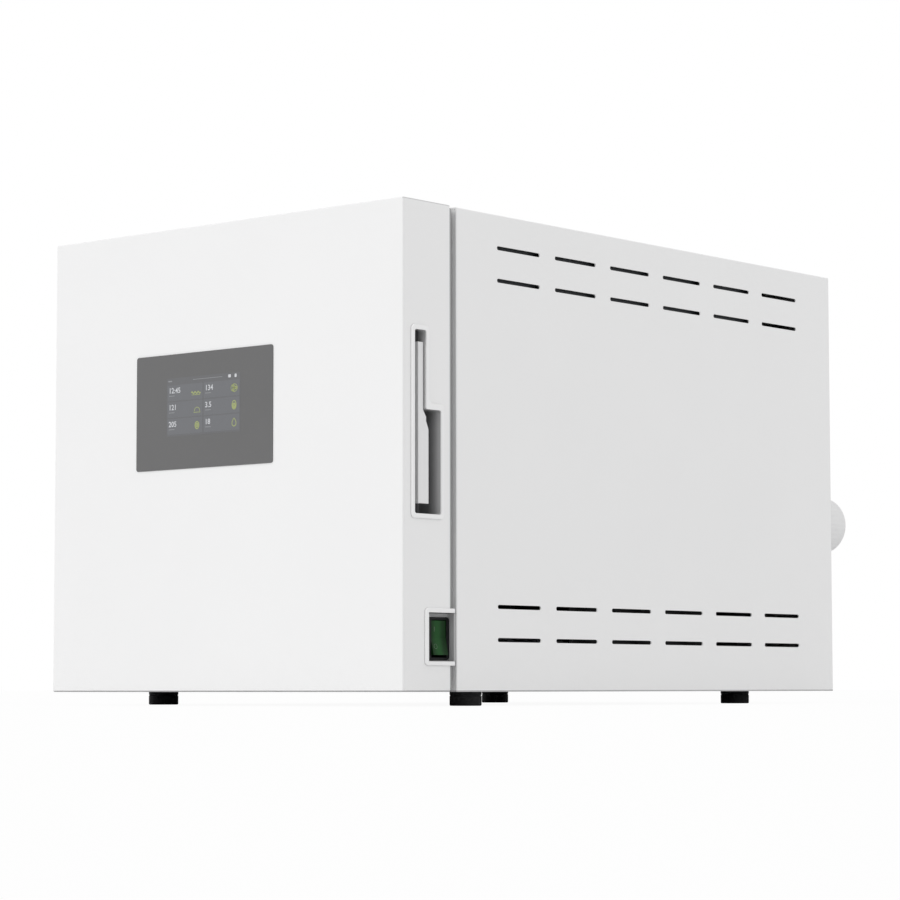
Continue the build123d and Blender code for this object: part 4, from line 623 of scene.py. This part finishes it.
# Feet: four round pads of black rubber, moulded with a ring groove near the top and a hollow underneath.
# Each is screwed up into the base tray. They replace the plain cylinders of the frame.
def lathe(name, profile, centre, axis, material, body, steps=72, flutes=None):
    """A surface of revolution: pairs of distance along the axis and radius, turned about Y or Z.

    Flutes are a cosine taken off the radius: from and to along the axis, how many, how deep.
    """
    profile = np.asarray(profile, float) * MM
    turn = np.linspace(0, 2 * math.pi, steps, endpoint=False)
    along = np.repeat(profile[:, 0], steps)
    radius = np.repeat(profile[:, 1], steps)
    turns = np.tile(turn, len(profile))
    if flutes:
        start, end, many, deep = flutes
        within = (along > start * MM) & (along < end * MM)
        radius = radius - within * deep * MM * (0.5 - 0.5 * np.cos(many * turns))
    cosine, sine = radius * np.cos(turns), radius * np.sin(turns)
    order = {"Y": (cosine, along, sine), "Z": (cosine, sine, along)}[axis]
    points = np.stack(order, 1) + np.asarray(centre)
    k, j = np.meshgrid(np.arange(len(profile) - 1), np.arange(steps), indexing="ij")
    a = (k * steps + j).ravel()
    b = (k * steps + (j + 1) % steps).ravel()
    faces = np.c_[a, b, b + steps, a + steps]
    return into_mesh(name, points, faces.tolist(), material, body)


def rounded(start, end, corner, radius, steps=6):
    """Points round a corner of a profile: an arc from one direction to the other."""
    t = np.linspace(start, end, steps)
    return np.c_[corner[0] + radius * np.cos(t), corner[1] + radius * np.sin(t)].tolist()


rubber = Finish("foot_rubber", Specular_IOR_Level=0.3)
rubber.set("Base Color", rubber.tint(rubber.noise(120.0, 4.0), (0.010, 0.010, 0.011), (0.018, 0.018, 0.019)))
rubber.set("Roughness", 0.6 + 0.15 * rubber.noise(200.0))
rubber.relief(rubber.noise(1500.0, 3.0), 0.05 * MM, 0.6)
FOOT_R = 14.35
FOOT_H = 12.5
HOLLOW_R = 6.0
HOLLOW_DEEP = 0.9
EDGE_ROUND = 1.2
GROOVE_DEEP = 0.5
foot_low, foot_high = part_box("feet")
half_track = (foot_high.x - foot_low.x) / 2 - FOOT_R * MM
middle_x = (foot_high.x + foot_low.x) / 2
front_y = foot_low.y + FOOT_R * MM
rear_y = foot_high.y - FOOT_R * MM
REAR_STEP = 34.2 * MM
half_pi = math.pi / 2
foot_profile = ([[HOLLOW_DEEP, 0.0], [HOLLOW_DEEP, HOLLOW_R], [0.0, HOLLOW_R + 1.0]]
                + rounded(math.pi, half_pi, (EDGE_ROUND, FOOT_R - EDGE_ROUND), EDGE_ROUND)
                + [[8.6, FOOT_R], [9.0, FOOT_R - GROOVE_DEEP], [9.6, FOOT_R - GROOVE_DEEP],
                   [10.0, FOOT_R], [FOOT_H, FOOT_R], [FOOT_H, 0.0]])
for label, x, y in (("front_left", middle_x - half_track, front_y),
                    ("front_right", middle_x + half_track, front_y),
                    ("rear_left", middle_x - half_track + REAR_STEP, rear_y),
                    ("rear_right", middle_x + half_track - REAR_STEP, rear_y)):
    pad = lathe("foot_" + label, foot_profile, (x, y, 0), "Z", rubber.material, "cabinet")
    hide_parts("feet")


# Bare metal: the welded vessel, the wire rack and the pressed trays are brushed stainless steel, and the
# pins, the plunger and the catch are ground bright. The valves are turned brass, the steam lines are
# soldered copper, and the condenser, the vacuum pump and the power supply have cast or drawn alloy bodies.
def brushed(name, colour, second, stretch, roughness, grain=900.0, depth=0.01 * MM):
    """Brushing: a noise drawn out along one axis, in colour, gloss and relief."""
    steel = Finish(name, Metallic=1.0)
    lines = steel.noise(grain, 3.0, stretch)
    steel.set("Base Color", steel.tint(lines, second, colour))
    steel.set("Roughness", roughness + 0.14 * lines)
    steel.relief(lines, depth, 0.5)
    return steel.material


dress(brushed("vessel_steel", (0.66, 0.66, 0.65), (0.56, 0.56, 0.55), (1, 0.04, 1), 0.26),
      "chamber", "tray_rack", "trays", "steam_generator")
dress(brushed("plate_steel", (0.66, 0.66, 0.65), (0.58, 0.58, 0.57), (0.05, 1, 1), 0.22), "pressure_plate")
dress(brushed("pin_steel", (0.72, 0.72, 0.73), (0.66, 0.66, 0.67), (1, 1, 0.05), 0.14),
      "hinge_pins", "release_plunger", "catch_tongue", "catch_roller_lower",
      "catch_roller_upper", "lock_bolt")
dress(brushed("valve_brass", (0.70, 0.52, 0.24), (0.60, 0.43, 0.18), (1, 1, 0.2), 0.24),
      "safety_valve", "drain_valves", "valve_block")
dress(brushed("pipe_copper", (0.72, 0.38, 0.24), (0.60, 0.30, 0.18), (1, 1, 0.3), 0.28), "steam_lines")
dress(brushed("cast_alloy", (0.62, 0.63, 0.64), (0.52, 0.53, 0.54), (1, 1, 1), 0.38, 400.0, 0.06 * MM),
      "condenser", "vacuum_pump", "power_supply")


# Brackets, cradles, shelf and base: folded sheet steel, galvanised in spangled zinc and screwed together.
# The board carrier and the handle's pin are plated black instead.
def galvanised(name):
    """Zinc spangle: cells of a Voronoi pattern in two greys, with a fine scratch over them."""
    zinc = Finish(name, Metallic=1.0)
    flakes = zinc.node("TexVoronoi", Vector=zinc.place(), Scale=120.0, output=1)
    bright = zinc.node("SeparateColor", Color=flakes)
    zinc.set("Base Color", zinc.tint(bright, (0.50, 0.52, 0.54), (0.60, 0.62, 0.64)))
    zinc.set("Roughness", 0.32 + 0.16 * bright)
    zinc.relief(zinc.noise(500.0, 3.0), 0.02 * MM, 0.4)
    return zinc.material


dress(galvanised("galvanised_sheet"), "door_bridge", "display_bracket", "base_tray", "hinge_bracket",
      "catch_housing", "chamber_cradles", "tank_shelf")
dress(moulded("black_zinc", (0.030, 0.030, 0.032), (0.022, 0.022, 0.024), 500.0, 0.45, Metallic=0.6),
      "board_carrier", "handle_pin")

# Silicone, wool and circuit boards: the moulded gasket sits in the pressure plate's groove, and the
# heating band is wrapped round the vessel under its jacket of dark mineral wool. The boards are green
# laminate with tracks under a clear lacquer, and are screwed to their carriers.
dress(moulded("silicone_red", (0.50, 0.13, 0.07), (0.44, 0.11, 0.06), 500.0, 0.5), "heating_band")
dress(moulded("silicone_white", (0.70, 0.69, 0.66), (0.65, 0.64, 0.61), 500.0, 0.45), "door_gasket")
wool = Finish("jacket_wool", Specular_IOR_Level=0.1)
wool.set("Base Color", wool.tint(wool.noise(220.0, 6.0, (1, 0.3, 1)),
                                 (0.020, 0.020, 0.021), (0.045, 0.044, 0.042)))
wool.set("Roughness", 0.85 + 0.1 * wool.noise(90.0))
wool.relief(wool.noise(350.0, 6.0), 0.6 * MM, 0.8)
dress(wool.material, "insulation")
board = Finish("board_green", Coat_Weight=0.4)
tracks = board.node("TexBrick", Vector=board.place((90, 90, 90)), Scale=4.0, Mortar_Size=0.06, output=1)
board.set("Base Color", board.tint(tracks, (0.012, 0.11, 0.045), (0.03, 0.2, 0.08)))
board.set("Roughness", 0.35 + 0.1 * board.noise(80.0))
board.relief(tracks, 0.05 * MM, 0.4)
dress(board.material, "display_board", "control_board")

# Air filter: a round white moulded cartridge with grip flutes, a rounded end and a recessed disc.
# Its spigot pushes into the socket of the rear panel.
filter_skin = moulded("filter_white", (0.80, 0.80, 0.80), (0.77, 0.77, 0.775), 1300.0, 0.36)
filter_low, filter_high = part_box("air_filter")
FILTER_R = (filter_high.x - filter_low.x) / 2 / MM
FILTER_LONG = (filter_high.y - filter_low.y) / MM
BODY_AT = 19.8
SPIGOT_R = 11.55
GRIP_FROM = BODY_AT + 9
GRIP_TO = FILTER_LONG - 4
END_ROUND = 3.0
FLUTES = 36
FLUTE_DEEP = 0.35
filter_profile = ([[0.0, 0.0], [0.0, SPIGOT_R - 0.6], [0.6, SPIGOT_R], [BODY_AT, SPIGOT_R],
                   [BODY_AT, FILTER_R - 0.5], [BODY_AT + 0.5, FILTER_R], [BODY_AT + 6, FILTER_R],
                   [BODY_AT + 6.4, FILTER_R - 0.5], [BODY_AT + 7.4, FILTER_R - 0.5],
                   [BODY_AT + 7.8, FILTER_R]]
                  + [[x, FILTER_R] for x in np.linspace(GRIP_FROM, GRIP_TO, 8)]
                  + rounded(half_pi, 0, (FILTER_LONG - END_ROUND, FILTER_R - END_ROUND), END_ROUND)
                  + [[FILTER_LONG, FILTER_R - 6], [FILTER_LONG - 1, FILTER_R - 6.6], [FILTER_LONG - 1, 9.0],
                     [FILTER_LONG - 0.4, 8.4], [FILTER_LONG - 0.4, 0.0]])
filter_centre = ((filter_high.x + filter_low.x) / 2, filter_low.y, (filter_high.z + filter_low.z) / 2)
cartridge = lathe("filter_cartridge", filter_profile, filter_centre, "Y", filter_skin, "filter", steps=144,
                  flutes=(GRIP_FROM + 0.5, GRIP_TO - 0.5, FLUTES, FLUTE_DEEP))
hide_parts("air_filter")

# Screws: cross-head machine screws of bright steel, twelve round the edge of the rear panel and six
# round the door's liner. They hold the panel to the cover and the liner to the door's pan.
SCREW_INSET = 9 * MM
SCREW_FROM_ENDS = 110 * MM
LINER_SINK = 0.3 * MM
LINER_SCREWS = ((0.09, 0.05), (0.91, 0.05), (0.09, 0.95), (0.91, 0.95), (0.5, 0.03), (0.5, 0.97))
HEAD_RADIUS = 3.4 * MM
# The head's shape, as shares of its radius
DOME_RISE = 0.55
DOME_SPREAD = 0.92
BAR_HALF = 0.16
BAR_REACH = 0.62
BAR_DEEP = 0.34
BAR_SLOPE = 0.06
BAR_END_SLOPE = 0.1
screw_steel = brushed("screw_steel", (0.68, 0.68, 0.69), (0.58, 0.58, 0.59), (1, 1, 1), 0.26, 600.0)


def cross_head(name, x, y, z, body):
    """A domed head with a cross recess: an arc's height over a disc, less a dip along two crossed bars."""
    rings, steps = 14, 48
    r = np.linspace(0, 1, rings)[:, None] * np.ones((1, steps))
    turn = np.linspace(0, 2 * math.pi, steps, endpoint=False)[None, :] * np.ones((rings, 1))
    u, v = r * np.cos(turn), r * np.sin(turn)
    dome = DOME_RISE * np.sqrt(np.clip(1 - (DOME_SPREAD * r) ** 2, 0, 1))
    arm = np.minimum(np.abs(u), np.abs(v))
    reach = np.maximum(np.abs(u), np.abs(v))
    cut = np.clip((BAR_HALF - arm) / BAR_SLOPE, 0, 1) * np.clip((BAR_REACH - reach) / BAR_END_SLOPE, 0, 1)
    height = (dome - BAR_DEEP * cut) * HEAD_RADIUS
    height = np.vstack([height, np.zeros((1, steps))])
    u = np.vstack([u, u[-1:]]) * HEAD_RADIUS
    v = np.vstack([v, v[-1:]]) * HEAD_RADIUS
    points = np.stack([x + u.ravel(), y + height.ravel(), z + v.ravel()], 1)
    k, j = np.meshgrid(np.arange(rings), np.arange(steps), indexing="ij")
    a = (k * steps + j).ravel()
    b = (k * steps + (j + 1) % steps).ravel()
    faces = np.c_[a, b, b + steps, a + steps].tolist()
    faces.append((np.arange(steps) + rings * steps)[::-1].tolist())
    piece = into_mesh(name, points, faces, screw_steel, body, 40.0)


rear_low, rear_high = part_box("rear_panel")
rear_screws = [(x, z) for x in np.linspace(rear_low.x + SCREW_INSET, rear_high.x - SCREW_INSET, 4)
               for z in (rear_low.z + SCREW_INSET, rear_high.z - SCREW_INSET)]
rear_screws += [(x, z) for z in (rear_low.z + SCREW_FROM_ENDS, rear_high.z - SCREW_FROM_ENDS)
                for x in (rear_low.x + SCREW_INSET, rear_high.x - SCREW_INSET)]
for i, (x, z) in enumerate(rear_screws):
    cross_head(f"rear_screw_{i}", x, rear_high.y, z, "cabinet")
liner_low, liner_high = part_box("door_liner")
for i, (share_x, share_z) in enumerate(LINER_SCREWS):
    cross_head(f"liner_screw_{i}", liner_low.x + share_x * (liner_high.x - liner_low.x),
               liner_high.y - LINER_SINK, liner_low.z + share_z * (liner_high.z - liner_low.z), "door")
